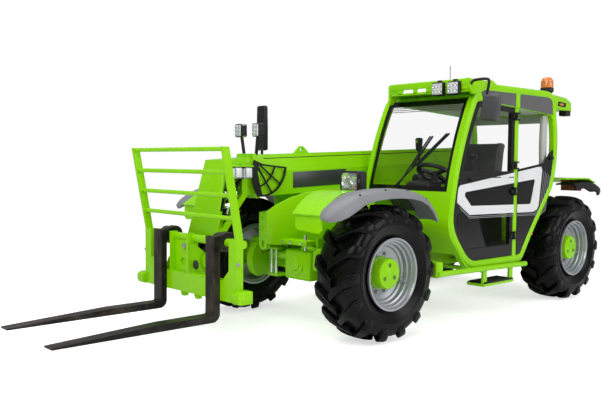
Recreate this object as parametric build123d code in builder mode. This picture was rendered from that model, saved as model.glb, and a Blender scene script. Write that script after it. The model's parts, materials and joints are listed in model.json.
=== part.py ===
from build123d import *
import math
import os

os.makedirs("parts", exist_ok=True)

# Running gear
wheelbase = 2860
track = 1660
front_axle_x = 535
tyre_radius = 530
tyre_width = 405
carcass_radius = 488
carcass_sides = 30
carcass_shoulder = 120
sidewall_radius = 452
sidewall_foot = 400
bead_radius = 289
lug_count = 14
lug_slant = 32
lug_half = 24
lug_root = 470
lug_inner = -10
lug_shoulder = 160
lug_outer = 210
lug_fall = 68
rim_seat_radius = 254
rim_lip_radius = 281
rim_half_width = 182
rim_lip = 21.7
rim_wall = 14
rim_disc_out = 40
rim_disc = 20
rim_ledge = 72
rim_ledge_radius = 206
rim_step = 118
rim_step_radius = 228
hub_radius = 105
hub_reach = 150
spindle_radius = 50
spindle_length = 60
kingpin_inset = 220
kingpin_radius = 35
knuckle_radius = 92
carrier_radius = 120
carrier_depth = 45
yoke_half_height = 165
yoke_plate = 40
axle_radius = 80
diff_radius = 150
diff_half = 90

# Clearances
fit_gap = 0.3
running_gap = 0.05
moving_gap = 8

# Chassis frame
frame_half = 330
frame_plate = 20
frame_low = 400
frame_floor = 600
frame_over_axle = 660
frame_top = 930
rail_front = 150
rail_top = 760
frame_tail = 260
deck_half = 420
deck_plate = 25
tower_plate = 25
tower_foot = 400
nose_wall = 15
nose_stations = (
    (380, -145, -45, 740, 960),
    (50, -180, 70, 700, 990),
)
nose_root_front = -400
nose_root_back = -460
nose_root_top = 1020
nose_plate = 40
nose_lug_radius = 50
nose_lug_drop = 45
nose_slot = 32
nose_slot_run = 26
hitch_pin_radius = 16
hitch_gap = 60
hitch_plate = 20
hitch_reach = 95
counterweight_depth = 280
counterweight_half = 320
counterweight_low = 500
counterweight_top = 1000

# Boom
boom_y = -215
boom_pivot_behind = 90
boom_pivot_z = 1430
boom_slope = 2.4
boom_width = 270
boom_drop = 195
boom_rise = 148
boom_shoulder = 5
boom_bevel = 40
boom_wall = 10
boom_front_ahead = 480
boom_tail = 130
boom_pin_radius = 40
boom_boss_radius = 75
boom_side_gap = 25
inner_gap = 8
inner_wall = 8
inner_start = 350
inner_show = 130
pad_length = 120
collar_length = 35
collar_proud = 12
lug_behind = 640
lug_base = 90
lug_height = 62
lug_eye_rise = 30
lug_eye_radius = 18
lug_sheet = 24

# Boom head, coupler and tilt
head_pivot_ahead = 985
head_pivot_z = 610
head_y = -150
head_width = 302
head_plate = 20
neck_half = 120
neck_fold = 950
neck_jog = 40
nose_reach = 225
nose_foot_rise = 170
nose_sheet = 15
nose_top_width = 252
nose_foot_width = 385
head_window_drop = 140
head_rim = 50
head_boss_radius = 70
tilt_pin_radius = 30
coupler_ear = 22
coupler_plate = 30
coupler_gap = 6
tilt_ear_rise = 60

# Lift cylinder
lift_base_ahead = 220
lift_base_z = 720
lift_eye_along = 1300
lift_eye_drop = 325
lift_barrel_radius = 58
lift_rod_radius = 36
lift_eye_radius = 52
lift_eye_half = 40
gland_lip = 8
lift_ear_gap = 6
lift_ear = 18
lift_ear_root = 150
lift_ear_foot = 60
lift_ear_below = 50
lift_pin_radius = 30
lift_rod_show = 40
lift_rod_spare = 35

# Tilt cylinder
tilt_base_ahead = 696
tilt_base_z = 1211
tilt_eye_ahead = 914
tilt_eye_z = 554
tilt_barrel_radius = 42
tilt_rod_radius = 24
tilt_eye_radius = 34
tilt_eye_half = 28
tilt_pin = 24
tilt_rod_show = 215
tilt_rod_spare = 140
cylinder_cap = 20

# Fork carriage and forks
carriage_y = -30
carriage_width = 1210
hang_tube_set = 65
hang_tube_z = 795
hang_tube_radius = 30
fork_face_ahead = 1225
fork_thick = 50
fork_width = 110
fork_length = 1200
fork_low = 229
fork_top = 845
fork_tip = 12
fork_taper = 420
fork_heel = 60
fork_root = 12
fork_left_y = 331
fork_right_y = -367
beam_low = 385
beam_top = 530
beam_depth = 60
beam_bevel = 30
post_width = 90
gusset = 75
centre_plate = 15
centre_hole_radius = 36
centre_hole_z = 600
post_plate = 22
post_rise = 10
backrest_top = 1480
backrest_lean = 11
backrest_bar_radius = 16
backrest_bars = 4

# Cab
cab_left = 950
cab_right = -30
cab_wall = 50
cab_pillar = 70
cab_low = 460
cab_foot_round = 250
cab_corner_round = 140
cab_floor_plate = 40
door_split = 1260
hinge_line_behind = 1800
b_pillar = 60
glass = 6
door_thick = 40
hinge_stand = 18
hinge_radius = 15
hinge_pin_radius = 7
hinge_knuckle = 40
hinge_lug = 14
hinge_arm = 60
door_window_low = 640
door_window_drop = 300
roof_thick = 75
roof_crown = 20
roof_front_behind = 980
roof_back_behind = 60
roof_over = 20
roof_round = 40
visor_taper = 200
visor_right = 100
visor_slot = 110
visor_slot_rows = (250, 400)
roof_lamp_rows = (680, 843)

# Mudguards
guard_sheet = 12
front_guard_top = 1165
front_guard_inner = 375
guard_bracket = 16
flare_inner = 800
flare_outer = 1020
flare_lip = 40
flare_round = 105
guard_front_inner = 580
guard_front_ahead = 660
guard_back_ahead = -570
seam_bend = 350
seam_front = 889
apron_set = 20
apron_low = 865
rear_guard_top = 1245
rear_guard_outer = 1000

# Engine side
pod_inner = 450
pod_outer = 1000
pod_front_behind = 780
pod_back_behind = 2100
pod_low = 480
pod_sill = 860
pod_top = 1310
pod_sheet = 14
hood_lip = 60
louvre_length = 700
louvre_height = 22
louvre_pitch = 46
louvre_rows = 5
hood_hinge_out = 20
hood_hinge_rise = 12
hood_hinge_spread = 450
hood_pin_radius = 8
hood_boss_radius = 14
hood_knuckle = 60
hood_lug = 12

rear_axle_x = front_axle_x - wheelbase
boom_pivot_x = rear_axle_x - boom_pivot_behind
boom_front = wheelbase + boom_pivot_behind + boom_front_ahead
inner_front = boom_front + inner_show
lug_along = boom_front - lug_behind
frame_back_x = rear_axle_x - frame_tail
far = 4000


def side_plane(y):
    """Upright plane at y whose sketch axes are the machine's X and Z; extrusion runs towards -Y."""
    return Plane(origin=(0, y, 0), x_dir=(1, 0, 0), z_dir=(0, -1, 0))


def ahead(x, z):
    """A side-view point given from the front axle's centre line."""
    return (front_axle_x + x, z)


def astern(x, z):
    """A side-view point given from the rear axle's centre line."""
    return (rear_axle_x + x, z)


def across_plane(x):
    """Upright plane across the machine at x: sketch X points left, sketch Y points up."""
    return Plane(origin=(x, 0, 0), x_dir=(0, 1, 0), z_dir=(1, 0, 0))


def between(face, x_low, x_high, z_low, z_high):
    """The part of a side-view face between two uprights and two levels."""
    with BuildSketch() as clip:
        add(face)
        with Locations(((x_low + x_high) / 2, (z_low + z_high) / 2)):
            Rectangle(x_high - x_low, z_high - z_low, mode=Mode.INTERSECT)
    return clip.sketch


def save(piece, name):
    piece.label = name
    export_step(piece, f"parts/{name}.step")


def wheel_plane(x, side):
    """Sketch plane through a wheel's axis: sketch X points outboard, sketch Y points up."""
    return Plane(origin=(x, side * track / 2, tyre_radius), x_dir=(0, side, 0), z_dir=(side, 0, 0))


def wheel_axis(x, side):
    return Axis((x, side * track / 2, tyre_radius), (0, side, 0))


def make_tyre():
    """Tall carcass drawn as a many-sided drum, with two rows of slanting lugs fused to it."""
    hub = Plane(origin=(0, 0, 0), x_dir=(1, 0, 0), z_dir=(0, 1, 0))
    half = tyre_width / 2
    bead = rim_half_width - rim_lip - fit_gap
    flat = math.cos(math.pi / carcass_sides)
    slant = math.radians(lug_slant)
    lug_mid = (lug_inner + lug_shoulder) / 2 * math.sin(slant)
    lug_corner = (lug_shoulder - lug_inner) / 2 * math.sin(slant) + lug_half * math.cos(slant)
    lug_top = math.sqrt(tyre_radius**2 - lug_corner**2)
    lowest = -math.pi / 2 - math.atan2(lug_corner, lug_top)
    stations = (
        (-half, sidewall_radius, -carcass_shoulder, carcass_radius),
        (-carcass_shoulder, carcass_radius, carcass_shoulder, carcass_radius),
        (carcass_shoulder, carcass_radius, half, sidewall_radius),
    )
    with BuildPart() as tyre:
        for start, start_radius, end, end_radius in stations:
            with BuildSketch(hub.offset(start)):
                RegularPolygon(start_radius, carcass_sides)
            with BuildSketch(hub.offset(end)):
                RegularPolygon(end_radius, carcass_sides)
            loft(ruled=True)
        # sidewalls drawn in to the beads, and the bore over the rim
        for hand in (1, -1):
            with BuildSketch(hub.offset(hand * bead)):
                RegularPolygon(bead_radius, carcass_sides)
            with BuildSketch(hub.offset(hand * half)):
                RegularPolygon(sidewall_foot, carcass_sides)
            loft(ruled=True, mode=Mode.SUBTRACT)
        with BuildSketch(hub.offset(-half)):
            RegularPolygon((rim_seat_radius + fit_gap) / flat, carcass_sides)
        extrude(amount=tyre_width, mode=Mode.SUBTRACT)
        # each lug is a section along its slant, from the middle of the tread over the shoulder
        for hand in (1, -1):
            for count in range(lug_count):
                turn = lowest + (count + (1 - hand) / 4) * 2 * math.pi / lug_count
                radial = Vector(math.cos(turn), 0, math.sin(turn))
                around = Vector(-math.sin(turn), 0, math.cos(turn))
                along = Vector(0, hand * math.cos(slant), 0) + around * math.sin(slant)
                with BuildSketch(Plane(origin=around * -lug_mid, x_dir=along, z_dir=along.cross(radial))):
                    Polygon(
                        (lug_inner, lug_root),
                        (lug_inner, lug_top),
                        (lug_shoulder, lug_top),
                        (lug_outer, lug_top - lug_fall),
                        (lug_outer - lug_half, lug_root - lug_half),
                        align=None,
                    )
                extrude(amount=lug_half, both=True)
    return tyre.part


def make_wheel(x, side, name):
    """Disc wheel with its drop-centre rim, deep dish, planetary hub and spindle."""
    lip_inner = rim_half_width - rim_lip
    barrel_inner = rim_seat_radius - rim_wall
    disc_back = rim_disc_out - rim_disc
    with BuildPart() as wheel:
        with BuildSketch(wheel_plane(x, side)):
            with BuildLine():
                Polyline(
                    (hub_reach, 0),
                    (hub_reach, hub_radius),
                    (rim_disc_out, hub_radius),
                    (rim_disc_out, rim_ledge_radius),
                    (rim_ledge, rim_ledge_radius),
                    (rim_ledge, rim_step_radius),
                    (rim_step, rim_step_radius),
                    (rim_step, barrel_inner),
                    (lip_inner + rim_wall / 2, barrel_inner),
                    (lip_inner + rim_wall / 2, rim_seat_radius + rim_wall / 2),
                    (rim_half_width, rim_seat_radius + rim_wall / 2),
                    (rim_half_width, rim_lip_radius),
                    (lip_inner, rim_lip_radius),
                    (lip_inner, rim_seat_radius),
                    (-lip_inner, rim_seat_radius),
                    (-lip_inner, rim_lip_radius),
                    (-rim_half_width, rim_lip_radius),
                    (-rim_half_width, barrel_inner),
                    (disc_back, barrel_inner),
                    (disc_back, spindle_radius),
                    (disc_back - spindle_length, spindle_radius),
                    (disc_back - spindle_length, 0),
                    close=True,
                )
            make_face()
        revolve(axis=wheel_axis(x, side))
    save(wheel.part, name)


def make_knuckle(x, side, name):
    """Steering knuckle: hub carrier, eight-sided housing round the kingpin axis, and the two kingpins."""
    carrier_face = rim_disc_out - rim_disc - 5
    bore_depth = carrier_face - (rim_disc_out - rim_disc - spindle_length - 5)
    centre = Location((x, side * (track / 2 - kingpin_inset), tyre_radius))
    housing_half = yoke_half_height - yoke_plate - 5
    hub = Plane(origin=(x, side * track / 2, tyre_radius), x_dir=(1, 0, 0), z_dir=(0, side, 0))
    with BuildPart() as knuckle:
        with BuildSketch(hub.offset(-kingpin_inset)):
            RegularPolygon(knuckle_radius, 8)
        extrude(amount=kingpin_inset - carrier_depth)
        with BuildSketch(hub.offset(-carrier_depth)):
            Circle(carrier_radius)
        extrude(amount=carrier_depth + carrier_face)
        with BuildSketch(Plane(centre).offset(-housing_half)):
            RegularPolygon(knuckle_radius, 8)
        extrude(amount=2 * housing_half)
        with Locations(centre):
            Cylinder(kingpin_radius, 2 * yoke_half_height)
        with BuildSketch(hub.offset(carrier_face - bore_depth)):
            Circle(spindle_radius + running_gap)
        extrude(amount=bore_depth, mode=Mode.SUBTRACT)
    save(knuckle.part, name)


def make_axle(x, name):
    """Steering drive axle: differential, tapered arms, spring pads and a yoke at each end."""
    kingpin_y = track / 2 - kingpin_inset
    web_y = kingpin_y - knuckle_radius - 25
    pad_y = frame_half - frame_plate / 2
    across = Plane(origin=(x, 0, tyre_radius), x_dir=(1, 0, 0), z_dir=(0, 1, 0))
    with BuildPart() as axle:
        with BuildSketch(across.offset(-web_y)):
            RegularPolygon(axle_radius, 8, rotation=22.5)
        extrude(amount=2 * web_y)
        with BuildSketch(across.offset(-diff_half)):
            RegularPolygon(diff_radius, 8, rotation=22.5)
        extrude(amount=2 * diff_half)
        for hand in (1, -1):
            with BuildSketch(across.offset(hand * diff_half)):
                RegularPolygon(diff_radius, 8, rotation=22.5)
            with BuildSketch(across.offset(hand * 2 * diff_half)):
                RegularPolygon(axle_radius, 8, rotation=22.5)
            loft(ruled=True)
        for side in (1, -1):
            pad_height = frame_over_axle - tyre_radius
            with Locations((x, side * pad_y, tyre_radius + pad_height / 2)):
                Box(160, 70, pad_height)
            with Locations((x, side * (web_y - yoke_plate / 2), tyre_radius)):
                Box(130, yoke_plate, 2 * yoke_half_height)
            arm_length = kingpin_y - web_y + yoke_plate / 2
            for up in (1, -1):
                arm_z = tyre_radius + up * (yoke_half_height - yoke_plate / 2)
                with Locations((x, side * (kingpin_y - arm_length / 2), arm_z)):
                    Box(130, arm_length, yoke_plate)
                with Locations((x, side * kingpin_y, arm_z)):
                    Cylinder(65, yoke_plate)
                    Cylinder(kingpin_radius + running_gap, yoke_plate, mode=Mode.SUBTRACT)
    save(axle.part, name)


left_tyre = make_tyre()
tyres = {1: left_tyre, -1: mirror(left_tyre, about=Plane.XZ)}
for end, axle_x in (("front", front_axle_x), ("rear", rear_axle_x)):
    make_axle(axle_x, f"{end}_axle")
    for hand, side in (("left", 1), ("right", -1)):
        wheel_place = Location((axle_x, side * track / 2, tyre_radius))
        save(tyres[side].moved(wheel_place), f"tyre_{end}_{hand}")
        make_wheel(axle_x, side, f"wheel_{end}_{hand}")
        make_knuckle(axle_x, side, f"knuckle_{end}_{hand}")

# Boom frame of reference
boom_dir = Vector(math.cos(math.radians(boom_slope)), 0, -math.sin(math.radians(boom_slope)))
boom_up = Vector(math.sin(math.radians(boom_slope)), 0, math.cos(math.radians(boom_slope)))
boom_pivot = Vector(boom_pivot_x, boom_y, boom_pivot_z)


def boom_point(along, up):
    """Side-view point given along the boom from its pivot and square to it."""
    p = boom_pivot + boom_dir * along + boom_up * up
    return (p.X, p.Z)


def boom_section(along):
    """Plane across the boom: sketch X points left, sketch Y points up."""
    return Plane(origin=boom_pivot + boom_dir * along, x_dir=(0, 1, 0), z_dir=boom_dir)


def boom_profile(inset):
    """Boom section with its upper shoulders bevelled, drawn in by an inset."""
    half = boom_width / 2
    with BuildSketch() as profile:
        Polygon(
            (-half, -boom_drop),
            (half, -boom_drop),
            (half, boom_shoulder),
            (half - boom_bevel, boom_rise),
            (-half + boom_bevel, boom_rise),
            (-half, boom_shoulder),
            align=None,
        )
        if inset:
            offset(amount=-inset, kind=Kind.INTERSECTION)
    return profile.sketch


lift_base = (rear_axle_x + lift_base_ahead, lift_base_z)
lift_eye = boom_point(lift_eye_along, -lift_eye_drop)
lift_ear_inner = lift_barrel_radius + gland_lip + lift_ear_gap
tower_inner = boom_width / 2 + boom_side_gap

# Chassis frame
with BuildPart() as chassis_frame:
    for y in (frame_half, -frame_half + frame_plate):
        with BuildSketch(side_plane(y)):
            with BuildLine():
                Polyline(
                    ahead(rail_front, frame_over_axle),
                    ahead(-450, frame_over_axle),
                    ahead(-800, frame_low),
                    astern(760, frame_low),
                    astern(440, frame_over_axle),
                    (frame_back_x, frame_over_axle),
                    (frame_back_x, frame_top),
                    astern(380, frame_top),
                    astern(710, frame_floor),
                    ahead(-850, frame_floor),
                    ahead(-530, frame_top),
                    ahead(nose_root_front, frame_top),
                    ahead(nose_root_front + 70, rail_top),
                    ahead(rail_front, rail_top),
                    close=True,
                )
            make_face()
        extrude(amount=frame_plate)
    # cross members between the side plates
    span = 2 * (frame_half - frame_plate)
    for x in (front_axle_x - 950, rear_axle_x + 910):
        with Locations((x, 0, (frame_low + frame_floor) / 2)):
            Box(120, span, frame_floor - frame_low - 40)
    with Locations((front_axle_x - 500, 0, frame_top - 40)):
        Box(30, span, 60)
    cross_x = rear_axle_x + 80
    with Locations((cross_x, 0, (frame_over_axle + 20 + frame_top) / 2)):
        Box(20, span, frame_top - frame_over_axle - 20)
    # rear deck, back plate and boom tower
    deck_mid = frame_back_x + tower_foot / 2
    with Locations((deck_mid, 0, frame_top + deck_plate / 2)):
        Box(tower_foot, 2 * deck_half, deck_plate)
    with Locations((frame_back_x + 10, 0, (frame_over_axle + frame_top) / 2)):
        Box(20, span, frame_top - frame_over_axle)
    for y in (boom_y + tower_inner + tower_plate, boom_y - tower_inner):
        with BuildSketch(side_plane(y)):
            with BuildLine():
                Polyline(
                    (frame_back_x, frame_top + deck_plate),
                    (frame_back_x + tower_foot, frame_top + deck_plate),
                    (boom_pivot_x + 100, boom_pivot_z),
                    (boom_pivot_x - 100, boom_pivot_z),
                    (frame_back_x, boom_pivot_z - boom_drop),
                    close=True,
                )
            make_face()
            with Locations((boom_pivot_x, boom_pivot_z)):
                Circle(100)
                Circle(boom_pin_radius + running_gap, mode=Mode.SUBTRACT)
        extrude(amount=tower_plate)
    with Locations((frame_back_x + 12, boom_y, frame_top + deck_plate + 100)):
        Box(24, 2 * tower_inner, 200)
    # ears that hold the lift cylinder's barrel
    for y in (boom_y + lift_ear_inner + lift_ear, boom_y - lift_ear_inner):
        with BuildSketch(side_plane(y)):
            with BuildLine():
                Polyline(
                    (cross_x, lift_base_z - 55),
                    (lift_base[0], lift_base_z - 60),
                    (lift_base[0], lift_base_z + 60),
                    (cross_x, lift_base_z + 110),
                    close=True,
                )
            make_face()
            with Locations(lift_base):
                Circle(60)
                Circle(lift_pin_radius + running_gap, mode=Mode.SUBTRACT)
        extrude(amount=lift_ear)
save(chassis_frame.part, "chassis_frame")

# Chassis nose: hollow wedge, open below, that sweeps in from the side plates to a narrow tip with a tow lug
nose_half = frame_half - frame_plate - fit_gap
nose_rings = nose_stations + (
    (nose_root_front, -nose_half, nose_half, frame_over_axle, nose_root_top),
    (nose_root_back, -nose_half, nose_half, frame_over_axle, nose_root_top),
)
tip_x, tip_right, tip_left, tip_low, tip_high = nose_stations[0]
tip_y = (tip_right + tip_left) / 2
lug_level = tip_low - nose_lug_drop
with BuildPart() as chassis_nose:
    for wall, how in ((0, Mode.ADD), (nose_wall, Mode.SUBTRACT)):
        for station, right, left, low, high in nose_rings:
            with BuildSketch(across_plane(front_axle_x + station - wall)):
                with Locations(((right + left) / 2, (low + high) / 2 - wall)):
                    Rectangle(left - right - 2 * wall, high - low)
        loft(ruled=True, mode=how)
    with BuildSketch(across_plane(front_axle_x + tip_x - nose_plate)):
        with Locations((tip_y, lug_level)):
            Circle(nose_lug_radius)
        with Locations((tip_y, lug_level + nose_lug_drop)):
            Rectangle(2 * nose_lug_radius, 2 * nose_lug_drop)
        with Locations((tip_y, lug_level)):
            SlotCenterToCenter(nose_slot_run, nose_slot, rotation=90, mode=Mode.SUBTRACT)
    extrude(amount=nose_plate)
save(chassis_nose.part, "chassis_nose")

# Counterweight with the tow hitch
with BuildPart() as counterweight:
    with BuildSketch(side_plane(counterweight_half)):
        with BuildLine():
            Polyline(
                (frame_back_x, frame_over_axle),
                (frame_back_x, counterweight_top),
                (frame_back_x - counterweight_depth + 60, counterweight_top),
                (frame_back_x - counterweight_depth, counterweight_top - 120),
                (frame_back_x - counterweight_depth, counterweight_low + 60),
                (frame_back_x - counterweight_depth + 60, counterweight_low),
                (frame_back_x - 60, counterweight_low),
                close=True,
            )
        make_face()
    extrude(amount=2 * counterweight_half)
    hitch_x = frame_back_x - counterweight_depth - hitch_reach / 2
    hitch_z = counterweight_low + 150
    for up in (1, -1):
        with Locations((hitch_x, 0, hitch_z + up * (hitch_gap + hitch_plate) / 2)):
            Box(hitch_reach, 110, hitch_plate)
    with Locations((hitch_x - 10, 0, hitch_z)):
        Cylinder(hitch_pin_radius, hitch_gap + 3 * hitch_plate, mode=Mode.SUBTRACT)
save(counterweight.part, "counterweight")

# Boom outer section
with BuildPart() as boom_outer:
    with BuildSketch(boom_section(-boom_tail)):
        add(boom_profile(0))
        add(boom_profile(boom_wall), mode=Mode.SUBTRACT)
    extrude(amount=boom_front + boom_tail)
    # wear pads that guide the inner section
    with BuildSketch(boom_section(boom_front - pad_length)):
        add(boom_profile(boom_wall))
        add(boom_profile(boom_wall + inner_gap - fit_gap), mode=Mode.SUBTRACT)
    extrude(amount=pad_length)
    # closed tail and pivot boss with its pin
    with BuildSketch(boom_section(-boom_tail)):
        add(boom_profile(boom_wall))
    extrude(amount=boom_wall)
    with BuildSketch(side_plane(boom_y + boom_width / 2)):
        with Locations((boom_pivot_x, boom_pivot_z)):
            Circle(boom_boss_radius)
    extrude(amount=boom_width)
    with BuildSketch(side_plane(boom_y + tower_inner + tower_plate + 20)):
        with Locations((boom_pivot_x, boom_pivot_z)):
            Circle(boom_pin_radius)
    extrude(amount=2 * (tower_inner + tower_plate + 20))
    # collar round the front end
    with BuildSketch(boom_section(boom_front - collar_length)):
        add(boom_profile(-collar_proud))
        add(boom_profile(boom_wall), mode=Mode.SUBTRACT)
    extrude(amount=collar_length)
    # rounded lifting lug on the top
    with BuildSketch(side_plane(boom_y + lug_sheet / 2)):
        Polygon(
            boom_point(lug_along - lug_base, boom_rise - 2),
            boom_point(lug_along + lug_base, boom_rise - 2),
            boom_point(lug_along + lug_eye_radius, boom_rise + lug_height),
            boom_point(lug_along - lug_eye_radius, boom_rise + lug_height),
            align=None,
        )
        fillet(vertices().sort_by(Axis.Y)[-2:], radius=lug_eye_radius)
        with Locations(boom_point(lug_along, boom_rise + lug_eye_rise)):
            Circle(lug_eye_radius, mode=Mode.SUBTRACT)
    extrude(amount=lug_sheet)
save(boom_outer.part, "boom_outer")

# Ears under the boom, one on each side of the lift cylinder's rod eye
with BuildPart() as boom_ears:
    for y in (boom_y + lift_ear_inner + lift_ear, boom_y - lift_ear_inner):
        with BuildSketch(side_plane(y)):
            with BuildLine():
                Polyline(
                    boom_point(lift_eye_along - lift_ear_root, -boom_drop),
                    boom_point(lift_eye_along - lift_ear_foot, -lift_eye_drop - lift_ear_below),
                    boom_point(lift_eye_along + lift_ear_foot, -lift_eye_drop - lift_ear_below),
                    boom_point(lift_eye_along + lift_ear_root, -boom_drop),
                    close=True,
                )
            make_face()
        extrude(amount=lift_ear)
save(boom_ears.part, "boom_ears")

# Boom inner section
inner_inset = boom_wall + inner_gap
with BuildPart() as boom_inner:
    with BuildSketch(boom_section(inner_start)):
        add(boom_profile(inner_inset))
        add(boom_profile(inner_inset + inner_wall), mode=Mode.SUBTRACT)
    extrude(amount=inner_front - inner_start)
save(boom_inner.part, "boom_inner")

# Boom head: gooseneck yoke that runs down and forward to the tilt pivot
head_pivot = ahead(head_pivot_ahead, head_pivot_z)
head_low = boom_point(inner_front, -boom_drop + inner_inset)
head_crown = boom_point(inner_front, boom_rise - inner_inset)
head_back = boom_point(inner_front, boom_rise - inner_inset - head_plate)
nose_top = (head_crown[0] + nose_reach, head_crown[1] - head_plate)
nose_foot = (head_pivot[0] - head_plate, head_pivot[1] + nose_foot_rise)
tilt_base = ahead(tilt_base_ahead, tilt_base_z)
tilt_eye = ahead(tilt_eye_ahead, tilt_eye_z)
tilt_cheek = tilt_barrel_radius + gland_lip + coupler_gap
head_left = head_y + head_width / 2
nose_length = math.hypot(nose_foot[0] - nose_top[0], nose_foot[1] - nose_top[1])
nose_run = Vector((nose_foot[0] - nose_top[0]) / nose_length, 0, (nose_foot[1] - nose_top[1]) / nose_length)
heel = (head_pivot[0] - head_boss_radius - head_plate, head_pivot[1] + 2 * head_boss_radius)


def head_side(open_side):
    """Side face of the head; the open side keeps a rim round a window over the tilt cylinder."""
    with BuildSketch() as plate:
        Polygon(
            head_low,
            head_crown,
            nose_top,
            nose_foot,
            (head_pivot[0] + head_boss_radius, head_pivot[1]),
            (head_pivot[0] - head_boss_radius, head_pivot[1]),
            heel,
            align=None,
        )
    with BuildSketch() as window:
        add(between(plate.sketch, -far, far, neck_fold - head_window_drop, far))
        offset(amount=-head_rim, kind=Kind.INTERSECTION)
    with BuildSketch() as face:
        add(plate.sketch)
        if open_side:
            add(window.sketch, mode=Mode.SUBTRACT)
        with Locations(head_pivot):
            Circle(head_boss_radius)
            Circle(tilt_pin_radius + running_gap, mode=Mode.SUBTRACT)
    return face.sketch


with BuildPart() as boom_head:
    for hand in (1, -1):
        face = head_side(hand == 1)
        neck = neck_half - (1 - hand) / 2 * (2 * neck_half - head_plate)
        yoke = head_width / 2 - (1 - hand) / 2 * (head_width - head_plate)
        with BuildSketch(side_plane(head_y + neck)):
            add(between(face, -far, far, neck_fold, far))
        extrude(amount=head_plate)
        with BuildSketch(side_plane(head_y + yoke)):
            add(between(face, -far, far, -far, neck_fold + neck_jog))
        extrude(amount=head_plate)
    # jog between the narrow neck and the wide yoke
    jog_depth = head_width / 2 - neck_half + head_plate
    for hand, start in ((1, head_width / 2), (-1, -head_width / 2 + jog_depth)):
        with BuildSketch(side_plane(head_y + start)):
            add(between(head_side(hand == 1), -far, far, neck_fold, neck_fold + neck_jog))
        extrude(amount=jog_depth)
    # front plate that widens downwards, crown plate and back plate
    with BuildSketch(
        Plane(
            origin=(nose_top[0], head_y, nose_top[1]),
            x_dir=(0, 1, 0),
            z_dir=(-nose_run.Z, 0, nose_run.X),
        )
    ):
        Polygon(
            (-nose_top_width / 2, 0),
            (nose_top_width / 2, 0),
            (nose_foot_width / 2, -nose_length),
            (-nose_foot_width / 2, -nose_length),
            align=None,
        )
    extrude(amount=-nose_sheet)
    with BuildSketch(side_plane(head_y + neck_half)):
        Polygon(
            head_crown,
            nose_top,
            (nose_top[0] - nose_sheet, nose_top[1] - head_plate),
            head_back,
            align=None,
        )
    extrude(amount=2 * neck_half)
    with BuildSketch(side_plane(head_y + neck_half)):
        Polygon(
            head_low,
            (head_low[0] + head_plate, head_low[1]),
            (head_back[0] + head_plate, head_back[1]),
            head_back,
            align=None,
        )
    extrude(amount=2 * neck_half)
    # cheeks that carry the tilt cylinder's barrel
    for y in (head_y + tilt_cheek + coupler_ear, head_y - tilt_cheek):
        with BuildSketch(side_plane(y)):
            with BuildLine():
                Polyline(
                    (head_back[0] + head_plate / 2, head_back[1] - head_plate / 2),
                    (head_back[0] + head_plate / 2, tilt_base_z - 45),
                    (tilt_base[0], tilt_base_z - 50),
                    (tilt_base[0] + 50, tilt_base_z),
                    (tilt_base[0] + 40, head_back[1] - head_plate / 2),
                    close=True,
                )
            make_face()
            with Locations(tilt_base):
                Circle(tilt_pin + running_gap, mode=Mode.SUBTRACT)
        extrude(amount=coupler_ear)
save(boom_head.part, "boom_head")


def cylinder_plane(base, eye, y):
    """Plane along a cylinder: sketch X runs from its base pivot to its rod's eye."""
    dx, dz = eye[0] - base[0], eye[1] - base[1]
    length = math.hypot(dx, dz)
    along = Vector(dx / length, 0, dz / length)
    return Plane(origin=(base[0], y, base[1]), x_dir=along, z_dir=(0, -1, 0)), length


def make_cylinder(base, eye, y, barrel_r, rod_r, eye_r, eye_half, pin_r, pin_half, show, spare, name):
    """Barrel with its base eye and pin, and rod with its eye; the rod runs in the barrel's bore."""
    plane, length = cylinder_plane(base, eye, y)
    axis = Axis(plane.origin, plane.x_dir)
    gland = length - eye_r - show
    with BuildPart() as barrel:
        with BuildSketch(plane):
            with BuildLine():
                Polyline(
                    (eye_r - 6, 0),
                    (eye_r - 6, barrel_r),
                    (gland - 60, barrel_r),
                    (gland - 60, barrel_r + gland_lip),
                    (gland, barrel_r + gland_lip),
                    (gland, rod_r + running_gap),
                    (eye_r + cylinder_cap, rod_r + running_gap),
                    (eye_r + cylinder_cap, 0),
                    close=True,
                )
            make_face()
        revolve(axis=axis)
        with BuildSketch(plane.offset(-eye_half)):
            Circle(eye_r)
        extrude(amount=2 * eye_half)
        with BuildSketch(plane.offset(-pin_half)):
            Circle(pin_r)
        extrude(amount=2 * pin_half)
    save(barrel.part, f"{name}_barrel")
    with BuildPart() as rod:
        with BuildSketch(plane):
            with BuildLine():
                Polyline(
                    (eye_r + cylinder_cap + spare, 0),
                    (eye_r + cylinder_cap + spare, rod_r),
                    (length, rod_r),
                    (length, 0),
                    close=True,
                )
            make_face()
        revolve(axis=axis)
        with BuildSketch(plane.offset(-eye_half)):
            with Locations((length, 0)):
                Circle(eye_r)
        extrude(amount=2 * eye_half)
    save(rod.part, f"{name}_rod")


make_cylinder(
    lift_base, lift_eye, boom_y, lift_barrel_radius, lift_rod_radius, lift_eye_radius, lift_eye_half,
    lift_pin_radius, lift_ear_inner + lift_ear, lift_rod_show, lift_rod_spare, "lift",
)
make_cylinder(
    tilt_base, tilt_eye, head_y, tilt_barrel_radius, tilt_rod_radius, tilt_eye_radius, tilt_eye_half,
    tilt_pin, tilt_cheek + coupler_ear, tilt_rod_show, tilt_rod_spare, "tilt",
)

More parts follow.
